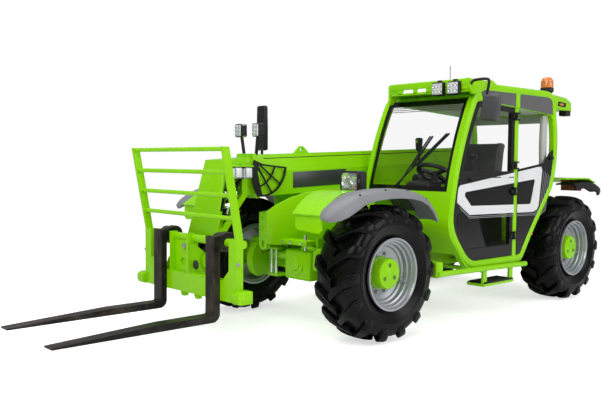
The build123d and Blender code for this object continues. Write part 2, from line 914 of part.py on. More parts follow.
# Coupler: ears on the tilt pin, front plate that the fork carriage hangs on
carriage_back = front_axle_x + fork_face_ahead - fork_thick
coupler_half = head_width / 2 - head_plate - coupler_gap
coupler_front = carriage_back - beam_depth
with BuildPart() as coupler:
    with BuildSketch(side_plane(head_left)):
        with Locations(head_pivot):
            Circle(tilt_pin_radius)
    extrude(amount=head_width)
    for y in (head_y + coupler_half, head_y - coupler_half + coupler_ear):
        with BuildSketch(side_plane(y)):
            with BuildLine():
                Polyline(
                    (head_pivot[0] - 45, head_pivot[1] - 45),
                    (coupler_front, beam_low + 20),
                    (coupler_front, hang_tube_z - 40),
                    (head_pivot[0] + 20, head_pivot[1] + 60),
                    (head_pivot[0] - 45, head_pivot[1] + 45),
                    close=True,
                )
            make_face()
        extrude(amount=coupler_ear)
    with Locations((coupler_front - coupler_plate / 2, head_y, (beam_low + hang_tube_z) / 2 - 10)):
        Box(coupler_plate, 2 * coupler_half, hang_tube_z - beam_low - 60)
    # ears beside the tilt cylinder's rod eye
    for y in (head_y + tilt_cheek + coupler_ear, head_y - tilt_cheek):
        with BuildSketch(side_plane(y)):
            with BuildLine():
                Polyline(
                    (tilt_eye[0] - tilt_eye_radius, tilt_eye[1] - tilt_eye_radius),
                    (coupler_front - coupler_plate / 2, tilt_eye[1] - tilt_eye_radius),
                    (coupler_front - coupler_plate / 2, head_pivot[1] + tilt_ear_rise),
                    (head_pivot[0], head_pivot[1] + tilt_ear_rise),
                    (tilt_eye[0] - tilt_eye_radius, tilt_eye[1] + tilt_eye_radius),
                    close=True,
                )
            make_face()
        extrude(amount=coupler_ear)
save(coupler.part, "coupler")

# Fork carriage: hang tube, end posts, lower beam and two centre plates
carriage_left = carriage_y + carriage_width / 2
hang_x = carriage_back - hang_tube_set
post_top = hang_tube_z + hang_tube_radius + post_rise
with BuildPart() as fork_carriage:
    with BuildSketch(side_plane(carriage_left)):
        with Locations((hang_x, hang_tube_z)):
            Circle(hang_tube_radius)
    extrude(amount=carriage_width)
    with BuildSketch(side_plane(carriage_left)):
        Polygon(
            (coupler_front, beam_low + beam_bevel),
            (coupler_front + beam_bevel, beam_low),
            (carriage_back, beam_low),
            (carriage_back, beam_top),
            (coupler_front, beam_top),
            align=None,
        )
    extrude(amount=carriage_width)
    # box posts at the ends and two plates in the middle
    uprights = (
        (carriage_left, post_width),
        (carriage_left - carriage_width + post_width, post_width),
        (head_y + coupler_half, post_plate),
        (head_y - coupler_half + post_plate, post_plate),
    )
    for y, width in uprights:
        with BuildSketch(side_plane(y)):
            Polygon(
                (coupler_front, beam_low + beam_bevel),
                (coupler_front + beam_bevel, beam_low),
                (carriage_back, beam_low),
                (carriage_back, post_top),
                (coupler_front, post_top),
                align=None,
            )
        extrude(amount=width)
    # gussets at the feet of the posts
    with BuildSketch(across_plane(coupler_front)):
        for hand in (1, -1):
            corner = carriage_y + hand * (carriage_width / 2 - post_width)
            Polygon(
                (corner, beam_top),
                (corner - hand * gusset, beam_top),
                (corner, beam_top + gusset),
                align=None,
            )
    extrude(amount=beam_depth)
    # plate with a round hole between the middle plates
    with BuildSketch(across_plane(coupler_front)):
        with Locations((head_y, (beam_top + hang_tube_z) / 2)):
            Rectangle(2 * coupler_half, hang_tube_z - beam_top)
        with Locations((head_y, centre_hole_z)):
            Circle(centre_hole_radius, mode=Mode.SUBTRACT)
    extrude(amount=centre_plate)
save(fork_carriage.part, "fork_carriage")

# Load backrest: two leaning uprights with round bars
lean = math.tan(math.radians(backrest_lean))
rest_foot = carriage_back - beam_depth
with BuildPart() as backrest:
    for y in (carriage_left, carriage_left - carriage_width + post_plate):
        with BuildSketch(side_plane(y)):
            with BuildLine():
                Polyline(
                    (rest_foot, post_top),
                    (carriage_back, post_top),
                    (carriage_back + (backrest_top - post_top) * lean, backrest_top),
                    (rest_foot + (backrest_top - post_top) * lean, backrest_top),
                    close=True,
                )
            make_face()
        extrude(amount=post_plate)
    pitch = (backrest_top - post_top - 2 * backrest_bar_radius) / (backrest_bars - 0.2)
    for row in range(backrest_bars):
        z = backrest_top - backrest_bar_radius - row * pitch
        x = (rest_foot + carriage_back) / 2 + (z - post_top) * lean
        with BuildSketch(side_plane(carriage_left)):
            with Locations((x, z)):
                Circle(backrest_bar_radius)
        extrude(amount=carriage_width)
save(backrest.part, "backrest")


def make_fork(y):
    """One fork: shank, heel, tapered blade, and the eye round the hang tube."""
    face = front_axle_x + fork_face_ahead
    back = face - fork_thick
    with BuildPart() as fork:
        with BuildSketch(side_plane(y + fork_width / 2)):
            with BuildLine():
                Polyline(
                    (back, fork_top),
                    (back, fork_low),
                    (face + fork_length, fork_low),
                    (face + fork_length, fork_low + fork_tip),
                    (face + fork_taper, fork_low + fork_thick),
                    (face, fork_low + fork_thick),
                    (face, fork_top),
                    close=True,
                )
            make_face()
            fillet(vertices().sort_by_distance((back, fork_low, 0))[0], radius=fork_heel)
            fillet(vertices().sort_by_distance((face, fork_low + fork_thick, 0))[0], radius=fork_root)
            with Locations((hang_x, hang_tube_z)):
                Circle(hang_tube_set + 4)
                Circle(hang_tube_radius + fit_gap, mode=Mode.SUBTRACT)
        extrude(amount=fork_width)
    return fork.part


forks = Compound(children=[make_fork(fork_left_y), make_fork(fork_right_y)])
save(forks, "forks")

# Cab outline seen from the left
windscreen_foot = 1140
cab_foot = ahead(-750, 810)
cab_toe = ahead(-1050, cab_low)
cab_heel = astern(930, cab_low)
cab_hip = astern(380, 1150)
roof_line_front = ahead(-1120, 2005)
roof_line_back = astern(360, 1935)


def cab_outline(inset):
    """Side outline of the cab, drawn in by an inset."""
    with BuildSketch() as outline:
        with BuildLine():
            ThreePointArc(cab_foot, ahead(-862, 1390), roof_line_front)
            Line(roof_line_front, roof_line_back)
            ThreePointArc(roof_line_back, astern(300, 1540), cab_hip)
            Polyline(cab_hip, astern(790, 660), cab_heel, cab_toe, cab_foot)
        make_face()
        fillet(vertices().sort_by_distance((*cab_foot, 0))[0], radius=cab_foot_round)
        for corner in (cab_toe, cab_heel, cab_hip, roof_line_back, roof_line_front):
            fillet(vertices().sort_by_distance((*corner, 0))[0], radius=cab_corner_round)
        if inset:
            offset(amount=-inset, kind=Kind.INTERSECTION)
    return outline.sketch


hinge_x = front_axle_x - hinge_line_behind
door_back = hinge_x + b_pillar / 2
quarter_front = hinge_x - b_pillar / 2
inside = cab_outline(cab_pillar)
door_hole = between(inside, door_back, far, cab_low, far)
quarter_hole = between(inside, -far, quarter_front, door_split, far)
quarter_low_hole = between(inside, -far, quarter_front, cab_low, door_split - cab_pillar)
right_hole = between(inside, -far, far, door_split - 60, far)
pane = cab_outline(cab_pillar + fit_gap)

# Cab frame: side rings, cross rails, cowl and rear wall
with BuildPart() as cab_frame:
    with BuildSketch(side_plane(cab_left)):
        add(cab_outline(0))
        add(door_hole, mode=Mode.SUBTRACT)
        add(quarter_hole, mode=Mode.SUBTRACT)
        add(quarter_low_hole, mode=Mode.SUBTRACT)
    extrude(amount=cab_wall)
    with BuildSketch(side_plane(cab_right + cab_wall)):
        add(between(cab_outline(0), -far, far, frame_floor, far))
        add(right_hole, mode=Mode.SUBTRACT)
    extrude(amount=cab_wall)
    # rails and panels that follow the outline between the rings
    rim = cab_outline(0) - cab_outline(cab_pillar)
    bands = (
        between(rim, front_axle_x - 1000, far, 600, windscreen_foot),
        between(rim, front_axle_x - 1250, far, 1960, far),
        between(rim, -far, rear_axle_x + 560, 1860, far),
        between(rim, -far, rear_axle_x + 860, 640, 1220),
    )
    for band in bands:
        with BuildSketch(side_plane(cab_left - cab_wall)):
            add(band)
        extrude(amount=cab_left - cab_right - 2 * cab_wall)
save(cab_frame.part, "cab_frame")

# Cab floor with the seat box
with BuildPart() as cab_floor:
    floor_front = front_axle_x - 1040
    floor_back = rear_axle_x + 870
    floor_y = (cab_left + cab_right) / 2
    floor_width = cab_left - cab_right - 2 * cab_wall - 2 * fit_gap
    with Locations(((floor_front + floor_back) / 2, floor_y, frame_floor + cab_floor_plate / 2)):
        Box(floor_front - floor_back, floor_width, cab_floor_plate)
    seat_box_height = 250
    with Locations((floor_back + 230, floor_y, frame_floor + cab_floor_plate + seat_box_height / 2)):
        Box(420, 500, seat_box_height)
save(cab_floor.part, "cab_floor")

# Windscreen and fixed windows
screen_rim = cab_outline(12) - cab_outline(12 + glass)
screen_band = between(screen_rim, front_axle_x - 1200, far, windscreen_foot + fit_gap, 1960 - fit_gap)
with BuildPart() as windscreen:
    with BuildSketch(side_plane(cab_left - cab_wall - fit_gap)):
        add(screen_band)
    extrude(amount=cab_left - cab_right - 2 * cab_wall - 2 * fit_gap)
save(windscreen.part, "windscreen")

rear_band = between(screen_rim, -far, rear_axle_x + 560, 1220 + fit_gap, 1860 - fit_gap)
with BuildPart() as cab_windows:
    with BuildSketch(side_plane(cab_left - cab_wall - fit_gap)):
        add(rear_band)
    extrude(amount=cab_left - cab_right - 2 * cab_wall - 2 * fit_gap)
    with BuildSketch(side_plane(cab_left - 10)):
        add(between(pane, -far, quarter_front - fit_gap, door_split + fit_gap, far))
        add(between(pane, -far, quarter_front - fit_gap, cab_low, door_split - cab_pillar - fit_gap))
    extrude(amount=glass)
    with BuildSketch(side_plane(cab_right + cab_wall / 2)):
        add(between(pane, -far, far, door_split - 60 + fit_gap, far))
    extrude(amount=glass)
save(cab_windows.part, "cab_windows")

# Door leaves, hung on the B pillar
hinge_axis_x = door_back + moving_gap / 2
hinge_axis_y = cab_left + hinge_stand
hinge_levels = (cab_low + 260, door_split - 130, door_split + 110, door_split + 560)


def knuckle_profile():
    """Plan of a hinge knuckle and its arm on the leaf's outer face."""
    with BuildSketch() as plan:
        with Locations((hinge_axis_x, hinge_axis_y)):
            Circle(hinge_radius)
        with Locations((hinge_axis_x + hinge_arm / 2, cab_left + hinge_stand / 2)):
            Rectangle(hinge_arm, hinge_stand)
        with Locations((hinge_axis_x, hinge_axis_y)):
            Circle(hinge_pin_radius + running_gap, mode=Mode.SUBTRACT)
    return plan.sketch


leaf = cab_outline(cab_pillar + moving_gap)
leaf_back = door_back + moving_gap
lower_leaf = between(leaf, leaf_back, far, cab_low, door_split - moving_gap / 2)
upper_leaf = between(leaf, leaf_back, far, door_split + moving_gap / 2, far)
leaf_inner = cab_outline(cab_pillar + moving_gap + 45)
door_window_top = door_split - door_window_drop
lower_window = between(leaf_inner, leaf_back + 45, far, door_window_low, door_window_top)
upper_window = between(leaf_inner, leaf_back + 45, far, door_split + 55, far)
leaf_pane = cab_outline(cab_pillar + moving_gap + 45 + fit_gap)
with BuildPart() as door_lower:
    with BuildSketch(side_plane(cab_left)):
        add(lower_leaf)
        add(lower_window, mode=Mode.SUBTRACT)
    extrude(amount=door_thick)
    for z in hinge_levels[:2]:
        with BuildSketch(Plane.XY.offset(z - hinge_knuckle / 2)):
            add(knuckle_profile())
        extrude(amount=hinge_knuckle)
save(door_lower.part, "door_lower")
with BuildPart() as door_lower_glass:
    with BuildSketch(side_plane(cab_left - 10)):
        add(between(leaf_pane, leaf_back + 45 + fit_gap, far, door_window_low + fit_gap, door_window_top - fit_gap))
    extrude(amount=glass)
save(door_lower_glass.part, "door_lower_glass")
with BuildPart() as door_upper:
    with BuildSketch(side_plane(cab_left)):
        add(upper_leaf)
        add(upper_window, mode=Mode.SUBTRACT)
    extrude(amount=door_thick)
    for z in hinge_levels[2:]:
        with BuildSketch(Plane.XY.offset(z - hinge_knuckle / 2)):
            add(knuckle_profile())
        extrude(amount=hinge_knuckle)
save(door_upper.part, "door_upper")
with BuildPart() as door_upper_glass:
    with BuildSketch(side_plane(cab_left - 10)):
        add(between(leaf_pane, leaf_back + 45 + fit_gap, far, door_split + 55 + fit_gap, far))
    extrude(amount=glass)
save(door_upper_glass.part, "door_upper_glass")

# Door hinges: lugs with a pin on the B pillar; the leaves carry the knuckles
with BuildPart() as door_hinges:
    for z in hinge_levels:
        for up in (1, -1):
            lug_z = z + up * (hinge_knuckle / 2 + 2 + hinge_lug / 2)
            with BuildSketch(Plane.XY.offset(lug_z - hinge_lug / 2)):
                with Locations((hinge_axis_x, hinge_axis_y)):
                    Circle(hinge_radius - 2)
                lug_foot = hinge_x - b_pillar / 2
                lug_width = hinge_axis_y - cab_left
                with Locations(((lug_foot + hinge_axis_x) / 2, cab_left + lug_width / 2)):
                    Rectangle(hinge_axis_x - lug_foot, lug_width)
            extrude(amount=hinge_lug)
        with Locations((hinge_axis_x, hinge_axis_y, z)):
            Cylinder(hinge_pin_radius, hinge_knuckle + 4 + 2 * hinge_lug)
save(door_hinges.part, "door_hinges")

# Roof: one moulded cap with a visor at the front and an overhang at the back
roof_slope = (roof_line_front[1] - roof_line_back[1]) / (roof_line_front[0] - roof_line_back[0])


def roof_under(x):
    return roof_line_front[1] + (x - roof_line_front[0]) * roof_slope


roof_front = front_axle_x - roof_front_behind
roof_back = rear_axle_x - roof_back_behind
with BuildPart() as cab_roof:
    with BuildSketch(side_plane(cab_left + roof_over)):
        with BuildLine():
            Polyline(
                (roof_back, roof_under(roof_back)),
                (roof_front, roof_under(roof_front)),
                (roof_front, roof_under(roof_front) + roof_thick),
                (roof_front - 40, roof_under(roof_front - 40) + roof_thick + roof_crown),
                (roof_back + 60, roof_under(roof_back + 60) + roof_thick + roof_crown),
                (roof_back, roof_under(roof_back) + roof_thick),
                close=True,
            )
        make_face()
    extrude(amount=cab_left - cab_right + 2 * roof_over)
    # plan with rounded corners and a drawn-in right front corner
    with BuildSketch(Plane.XY):
        Polygon(
            (roof_back, cab_right - roof_over),
            (roof_front - visor_taper, cab_right - roof_over),
            (roof_front, visor_right),
            (roof_front, cab_left + roof_over),
            (roof_back, cab_left + roof_over),
            align=None,
        )
        fillet(vertices(), radius=roof_round)
    extrude(amount=far, mode=Mode.INTERSECT)
    # slots in the visor's front edge
    for y in visor_slot_rows:
        with Locations((roof_front - 15, y, roof_under(roof_front) + 50)):
            Box(30, visor_slot, 20, mode=Mode.SUBTRACT)
save(cab_roof.part, "cab_roof")

# Seat, dash console and steering wheel
seat_x = rear_axle_x + 1100
seat_y = (cab_left + cab_right) / 2
seat_base_z = frame_floor + cab_floor_plate + seat_box_height
with BuildPart() as seat:
    with Locations((seat_x + 30, seat_y, seat_base_z + 70)):
        Box(480, 480, 140)
    with BuildSketch(side_plane(seat_y + 225)):
        with BuildLine():
            Polyline(
                (seat_x - 210, seat_base_z + 100),
                (seat_x - 90, seat_base_z + 100),
                (seat_x - 180, seat_base_z + 720),
                (seat_x - 270, seat_base_z + 720),
                close=True,
            )
        make_face()
    extrude(amount=450)
save(seat.part, "seat")

wheel_tilt = 28
column_radius = 28
column_foot = ahead(-1175, 1150)
tilt_cos = math.cos(math.radians(wheel_tilt))
tilt_sin = math.sin(math.radians(wheel_tilt))
with BuildPart() as dash_console:
    with BuildSketch(side_plane(seat_y + 200)):
        with BuildLine():
            Polyline(
                ahead(-1060, frame_floor + cab_floor_plate),
                ahead(-1180, frame_floor + cab_floor_plate),
                ahead(-1120, 1000),
                (column_foot[0] - 35 * tilt_cos, column_foot[1] - 35 * tilt_sin),
                (column_foot[0] + 35 * tilt_cos, column_foot[1] + 35 * tilt_sin),
                ahead(-950, 1120),
                ahead(-950, 900),
                close=True,
            )
        make_face()
    extrude(amount=400)
save(dash_console.part, "dash_console")

with BuildPart() as steering_wheel:
    column_plane = Plane(
        origin=(column_foot[0], seat_y, column_foot[1]),
        x_dir=(0, 1, 0),
        z_dir=(-tilt_sin, 0, tilt_cos),
    )
    with BuildSketch(column_plane):
        Circle(column_radius)
    extrude(amount=170)
    with BuildSketch(column_plane.offset(140)):
        Circle(190)
        Circle(162, mode=Mode.SUBTRACT)
        for turn in (90, 210, 330):
            with PolarLocations(0, 1, start_angle=turn):
                with Locations((88, 0)):
                    Rectangle(176, 34)
    extrude(amount=28)
save(steering_wheel.part, "steering_wheel")


# Front mudguards, flares and their head lamps
def guard_line(points, sheet):
    """Sheet section under a top line of an arc, a flat and an arc."""
    with BuildSketch() as section:
        with BuildLine():
            ThreePointArc(points[0], points[1], points[2])
            Line(points[2], points[3])
            ThreePointArc(points[3], points[4], points[5])
            offset(amount=sheet, side=Side.RIGHT)
        make_face()
    return section.sketch


front_line = [
    ahead(guard_back_ahead, 940),
    ahead(-430, 1090),
    ahead(-220, front_guard_top),
    ahead(220, front_guard_top),
    ahead(470, front_guard_top - 50),
    ahead(guard_front_ahead, front_guard_top - 165),
]
with BuildPart() as front_fenders:
    with BuildSketch(side_plane(flare_outer)):
        add(guard_line(front_line, guard_sheet))
    extrude(amount=flare_outer - front_guard_inner)
    with BuildSketch(Plane.XY):
        Polygon(
            ahead(guard_back_ahead - guard_sheet, front_guard_inner),
            ahead(0, front_guard_inner),
            ahead(guard_front_ahead, guard_front_inner),
            ahead(guard_front_ahead, seam_front),
            ahead(seam_bend, flare_inner),
            ahead(guard_back_ahead - guard_sheet, flare_inner),
            align=None,
        )
    extrude(amount=2 * front_guard_top, mode=Mode.INTERSECT)
    # apron that hangs under the front edge
    with BuildSketch(across_plane(front_axle_x + guard_front_ahead - apron_set - guard_sheet)):
        Polygon(
            (guard_front_inner + 10, front_guard_top - 160),
            (guard_front_inner + 10, apron_low + 40),
            (guard_front_inner + 40, apron_low + 15),
            (seam_front - 50, apron_low),
            (seam_front - 20, apron_low + 25),
            (seam_front - 20, front_guard_top - 160),
            align=None,
        )
    extrude(amount=guard_sheet)
    # bracket on the side rail
    bracket_low = frame_over_axle + 20
    bracket_high = front_guard_top - guard_sheet / 2
    bracket_x = front_axle_x - 150
    with Locations((bracket_x, front_guard_inner + guard_bracket / 2, (bracket_low + bracket_high) / 2)):
        Box(300, guard_bracket, bracket_high - bracket_low)
    foot_width = front_guard_inner + guard_bracket - frame_half
    with Locations((bracket_x, frame_half + foot_width / 2, bracket_low + guard_bracket / 2)):
        Box(300, foot_width, guard_bracket)
    mirror(about=Plane.XZ)
save(front_fenders.part, "front_fenders")

with BuildPart() as front_flares:
    with BuildSketch(side_plane(flare_outer)):
        add(guard_line(front_line, guard_sheet))
    extrude(amount=flare_outer - flare_inner)
    with BuildSketch(side_plane(flare_outer)):
        add(guard_line(front_line, flare_lip))
    extrude(amount=guard_sheet)
    # plan rounded at the front, with its seam on the mudguard
    with BuildSketch(Plane.XY):
        Polygon(
            ahead(guard_back_ahead - flare_lip, flare_inner),
            ahead(seam_bend, flare_inner),
            ahead(guard_front_ahead, seam_front),
            ahead(guard_front_ahead, flare_outer),
            ahead(guard_back_ahead - flare_lip, flare_outer),
            align=None,
        )
        fillet(vertices().sort_by_distance((*ahead(guard_front_ahead, flare_outer), 0))[0], radius=flare_round)
    extrude(amount=2 * front_guard_top, mode=Mode.INTERSECT)
    mirror(about=Plane.XZ)
save(front_flares.part, "front_flares")

lamp_y = 700
with BuildPart() as lamp_housings:
    for side in (1, -1):
        with Locations((front_axle_x + 120, side * lamp_y, front_guard_top + 80)):
            Box(80, 150, 130)
        with Locations((front_axle_x + 120, side * lamp_y, front_guard_top + 10)):
            Box(50, 60, 20)
    for y in roof_lamp_rows:
        with Locations((roof_front + 23, y, roof_under(roof_front) + 38)):
            Box(46, 120, 70)
save(lamp_housings.part, "lamp_housings")

with BuildPart() as lamp_lenses:
    for side in (1, -1):
        with Locations((front_axle_x + 164, side * lamp_y, front_guard_top + 80)):
            Box(8, 130, 110)
    for y in roof_lamp_rows:
        with Locations((roof_front + 49, y, roof_under(roof_front) + 38)):
            Box(6, 104, 56)
save(lamp_lenses.part, "lamp_lenses")

# Rear mudguards and flaps
rear_line_front = rear_axle_x + 210
rear_line_back = rear_axle_x - 440
with BuildPart() as rear_fenders:
    with BuildSketch(side_plane(rear_guard_outer)):
        with BuildLine():
            Polyline(
                (rear_line_front, rear_guard_top),
                (rear_line_back + 150, rear_guard_top),
                (rear_line_back, rear_guard_top - 45),
                (rear_line_back, rear_guard_top - 45 - guard_sheet),
                (rear_line_back + 150, rear_guard_top - guard_sheet),
                (rear_line_front, rear_guard_top - guard_sheet),
                close=True,
            )
        make_face()
    extrude(amount=rear_guard_outer - deck_half)
    with Locations((rear_axle_x - 40, deck_half + 8, (frame_top + rear_guard_top - 4) / 2)):
        Box(280, 16, rear_guard_top - 4 - frame_top)
    mirror(about=Plane.XZ)
save(rear_fenders.part, "rear_fenders")

with BuildPart() as rear_flaps:
    with BuildSketch(side_plane(rear_guard_outer)):
        with BuildLine():
            Polyline(
                (rear_line_back, rear_guard_top - 45),
                (rear_line_back - 140, rear_guard_top - 88),
                (rear_line_back - 140, rear_guard_top - 98),
                (rear_line_back, rear_guard_top - 45 - guard_sheet),
                close=True,
            )
        make_face()
    extrude(amount=rear_guard_outer - deck_half - 150)
    mirror(about=Plane.XZ)
save(rear_flaps.part, "rear_flaps")

with BuildPart() as tail_lamps:
    lamp_fall = 45 / 150
    lamp_back = rear_line_back + 20
    lamp_front = rear_line_back + 90
    under_back = rear_guard_top - 45 - guard_sheet + 20 * lamp_fall
    under_front = rear_guard_top - 45 - guard_sheet + 90 * lamp_fall
    with BuildSketch(side_plane(860)):
        with BuildLine():
            Polyline(
                (lamp_back, under_back),
                (lamp_front, under_front),
                (lamp_front, under_back - 90),
                (lamp_back, under_back - 90),
                close=True,
            )
        make_face()
    extrude(amount=200)
    mirror(about=Plane.XZ)
save(tail_lamps.part, "tail_lamps")

# Engine, its housing and its hood
pod_front = front_axle_x - pod_front_behind
pod_back = front_axle_x - pod_back_behind
pod_length = pod_front - pod_back
pod_x = (pod_front + pod_back) / 2
hood_axis_y = -pod_inner + hood_hinge_out
hood_axis_z = pod_top - hood_lip + hood_hinge_rise
with BuildPart() as engine_housing:
    with Locations((pod_x, -(frame_half + pod_outer) / 2, pod_low + pod_sheet / 2)):
        Box(pod_length, pod_outer - frame_half, pod_sheet)
    wall_outer = -pod_outer + pod_sheet + moving_gap
    for x in (pod_front - pod_sheet, pod_back):
        with BuildSketch(across_plane(x)):
            with BuildLine():
                Polyline(
                    (-pod_inner, pod_low),
                    (-pod_outer, pod_low),
                    (-pod_outer, pod_sill),
                    (wall_outer, pod_sill),
                    (wall_outer, pod_top - 175),
                    (wall_outer + 105, pod_top - hood_lip - 12),
                    (-pod_inner, pod_top - hood_lip),
                    close=True,
                )
            make_face()
        extrude(amount=pod_sheet)
    with Locations((pod_x, -pod_outer + pod_sheet / 2, (pod_low + pod_sill) / 2)):
        Box(pod_length, pod_sheet, pod_sill - pod_low)
    with Locations((pod_x, -pod_inner - pod_sheet / 2, (pod_low + pod_top - hood_lip) / 2)):
        Box(pod_length, pod_sheet, pod_top - hood_lip - pod_low)
    # lugs and pins that the hood's knuckles turn on
    for along in (hood_hinge_spread, -hood_hinge_spread):
        for hand in (1, -1):
            lug_mid = pod_x + along + hand * (hood_knuckle / 2 + 2 + hood_lug / 2)
            with BuildSketch(across_plane(lug_mid - hood_lug / 2)):
                with BuildLine():
                    Polyline(
                        (-pod_inner, pod_top - hood_lip - 60),
                        (-pod_inner, pod_top - hood_lip - 6),
                        (hood_axis_y - hood_boss_radius + 2, pod_top - hood_lip + 2),
                        (hood_axis_y - hood_boss_radius + 2, hood_axis_z + hood_boss_radius - 2),
                        (hood_axis_y + hood_boss_radius, hood_axis_z + hood_boss_radius - 2),
                        (hood_axis_y + hood_boss_radius, hood_axis_z - hood_boss_radius),
                        close=True,
                    )
                make_face()
            extrude(amount=hood_lug)
        with Locations((pod_x + along, hood_axis_y, hood_axis_z)):
            Cylinder(hood_pin_radius, hood_knuckle + 4 + 2 * hood_lug, rotation=(0, 90, 0))
save(engine_housing.part, "engine_housing")

with BuildPart() as engine_block:
    with Locations((pod_x, -(pod_inner + pod_outer) / 2, pod_low + pod_sheet + 330)):
        Box(850, 420, 660)
save(engine_block.part, "engine_block")

with BuildPart() as engine_hood:
    with BuildSketch(across_plane(pod_back + moving_gap)):
        with BuildLine():
            Polyline(
                (-pod_inner, pod_top - hood_lip + fit_gap),
                (-pod_inner, pod_top),
                (-pod_inner - 120, pod_top + 20),
                (-pod_outer + 120, pod_top - 40),
                (-pod_outer, pod_top - 160),
                (-pod_outer, pod_sill + moving_gap),
                (-pod_outer + pod_sheet, pod_sill + moving_gap),
                (-pod_outer + pod_sheet, pod_top - 165),
                (-pod_outer + 125, pod_top - 56),
                (-pod_inner - 60, pod_top - hood_lip + fit_gap),
                close=True,
            )
        make_face()
    extrude(amount=pod_length - 2 * moving_gap)
    # louvres in the outer side
    louvre_z = (pod_sill + moving_gap + pod_top - 160) / 2
    with BuildSketch(side_plane(-pod_outer)):
        with Locations((pod_x, louvre_z)):
            with GridLocations(louvre_length, louvre_pitch, 1, louvre_rows):
                Rectangle(louvre_length, louvre_height)
    extrude(amount=-2 * pod_sheet, mode=Mode.SUBTRACT)
    for along in (hood_hinge_spread, -hood_hinge_spread):
        knuckle_back = pod_x + along - hood_knuckle / 2
        with BuildSketch(across_plane(knuckle_back)):
            with Locations((hood_axis_y, hood_axis_z)):
                Circle(hood_boss_radius)
            with Locations(((hood_axis_y - pod_inner - 4) / 2, hood_axis_z + hood_boss_radius / 2)):
                Rectangle(pod_inner + 4 + hood_axis_y, hood_boss_radius)
            with Locations((hood_axis_y, hood_axis_z)):
                Circle(hood_pin_radius + running_gap, mode=Mode.SUBTRACT)
        extrude(amount=hood_knuckle)
save(engine_hood.part, "engine_hood")

# Mirrors on bent tubes: the left one hangs from the roof, the right one stands on the engine housing
mirror_y = 1210
mirror_depth = 50
mirror_width = 140
mirror_round = 25
mirror_tube = 13
left_mirror_height = 240
right_mirror_height = 460
right_mirror_ahead = 230
right_mirror_z = 1725
left_arm_x = roof_front - 60
left_arm_z = roof_under(roof_front) + 20
left_face_x = roof_front - 5
left_face_z = roof_under(roof_front) - 150
right_face_x = pod_front + right_mirror_ahead
right_arm_y = -pod_outer + 60
right_arm_z = pod_top - 210
arm_lines = (
    (
        (left_arm_x, cab_left + roof_over, left_arm_z),
        (left_arm_x, mirror_y, left_arm_z),
        (left_face_x + mirror_depth / 2, mirror_y, left_face_z + left_mirror_height / 4),
    ),
    (
        (pod_front, right_arm_y, right_arm_z),
        (right_face_x + mirror_depth / 2, right_arm_y, right_arm_z),
        (right_face_x + mirror_depth / 2, -mirror_y, right_arm_z + 40),
        (right_face_x + mirror_depth / 2, -mirror_y, right_mirror_z),
    ),
)
mirror_heads = (
    (left_face_x, mirror_y, left_face_z, left_mirror_height),
    (right_face_x, -mirror_y, right_mirror_z, right_mirror_height),
)
with BuildPart() as mirrors:
    for points in arm_lines:
        with BuildLine() as arm:
            Polyline(*points)
        with BuildSketch(Plane(origin=arm.line @ 0, z_dir=arm.line % 0)):
            RegularPolygon(mirror_tube, 8)
        sweep(path=arm.line, transition=Transition.RIGHT)
    for x, y, z, height in mirror_heads:
        with BuildSketch(across_plane(x)):
            with Locations((y, z)):
                RectangleRounded(mirror_width, height, mirror_round)
        extrude(amount=mirror_depth)
save(mirrors.part, "mirrors")

beacon_x = rear_axle_x + 360
with BuildPart() as beacon:
    beacon_plane = Plane(
        origin=(beacon_x, 800, roof_under(beacon_x) + roof_thick + roof_crown),
        x_dir=(0, 1, 0),
        z_dir=(-roof_slope, 0, 1),
    )
    with BuildSketch(beacon_plane):
        RegularPolygon(50, 12)
    extrude(amount=60)
    with BuildSketch(beacon_plane.offset(60)):
        RegularPolygon(60, 12)
    extrude(amount=110, taper=6)
save(beacon.part, "beacon")

step_z = 320
sill_tube_radius = 24
sill_tube_y = 985
sill_front = Vector(front_axle_x - 579, sill_tube_y, 470)
sill_back = Vector(rear_axle_x + 912, sill_tube_y, 445)
with BuildPart() as cab_step:
    for x in (-1285, -1710):
        with Locations((front_axle_x + x, (frame_half + 980) / 2, frame_low + 35)):
            Box(60, 980 - frame_half, 30)
        with Locations((front_axle_x + x, 970, (step_z + frame_low + 50) / 2)):
            Box(60, 20, frame_low + 50 - step_z)
    with Locations((front_axle_x - 1497, 900, step_z - 12)):
        Box(485, 180, 24)
    # guard tube along the sill
    with BuildSketch(Plane(origin=sill_front, z_dir=sill_back - sill_front)):
        RegularPolygon(sill_tube_radius, 10)
    extrude(amount=(sill_back - sill_front).length)
save(cab_step.part, "cab_step")

# Work lamps on stalks at the boom's front end
boom_lamp_behind = 60
boom_lamp_foot = 80
boom_lamp_out = 115
boom_lamp_rise = 205
boom_lamp_size = (60, 85, 110)
stalk = 14
lamp_along = boom_front - boom_lamp_behind
lamp_up = boom_rise + boom_lamp_rise
with BuildPart() as boom_lamps:
    for hand in (1, -1):
        with BuildSketch(boom_section(lamp_along - stalk / 2)):
            Polygon(
                (hand * boom_lamp_foot - stalk, boom_rise),
                (hand * boom_lamp_foot + stalk, boom_rise),
                (hand * boom_lamp_out + stalk, lamp_up),
                (hand * boom_lamp_out - stalk, lamp_up),
                align=None,
            )
        extrude(amount=stalk)
        with BuildSketch(boom_section(lamp_along - boom_lamp_size[0] / 2)):
            with Locations((hand * boom_lamp_out, lamp_up)):
                RectangleRounded(boom_lamp_size[1], boom_lamp_size[2], stalk)
        extrude(amount=boom_lamp_size[0])
save(boom_lamps.part, "boom_lamps")

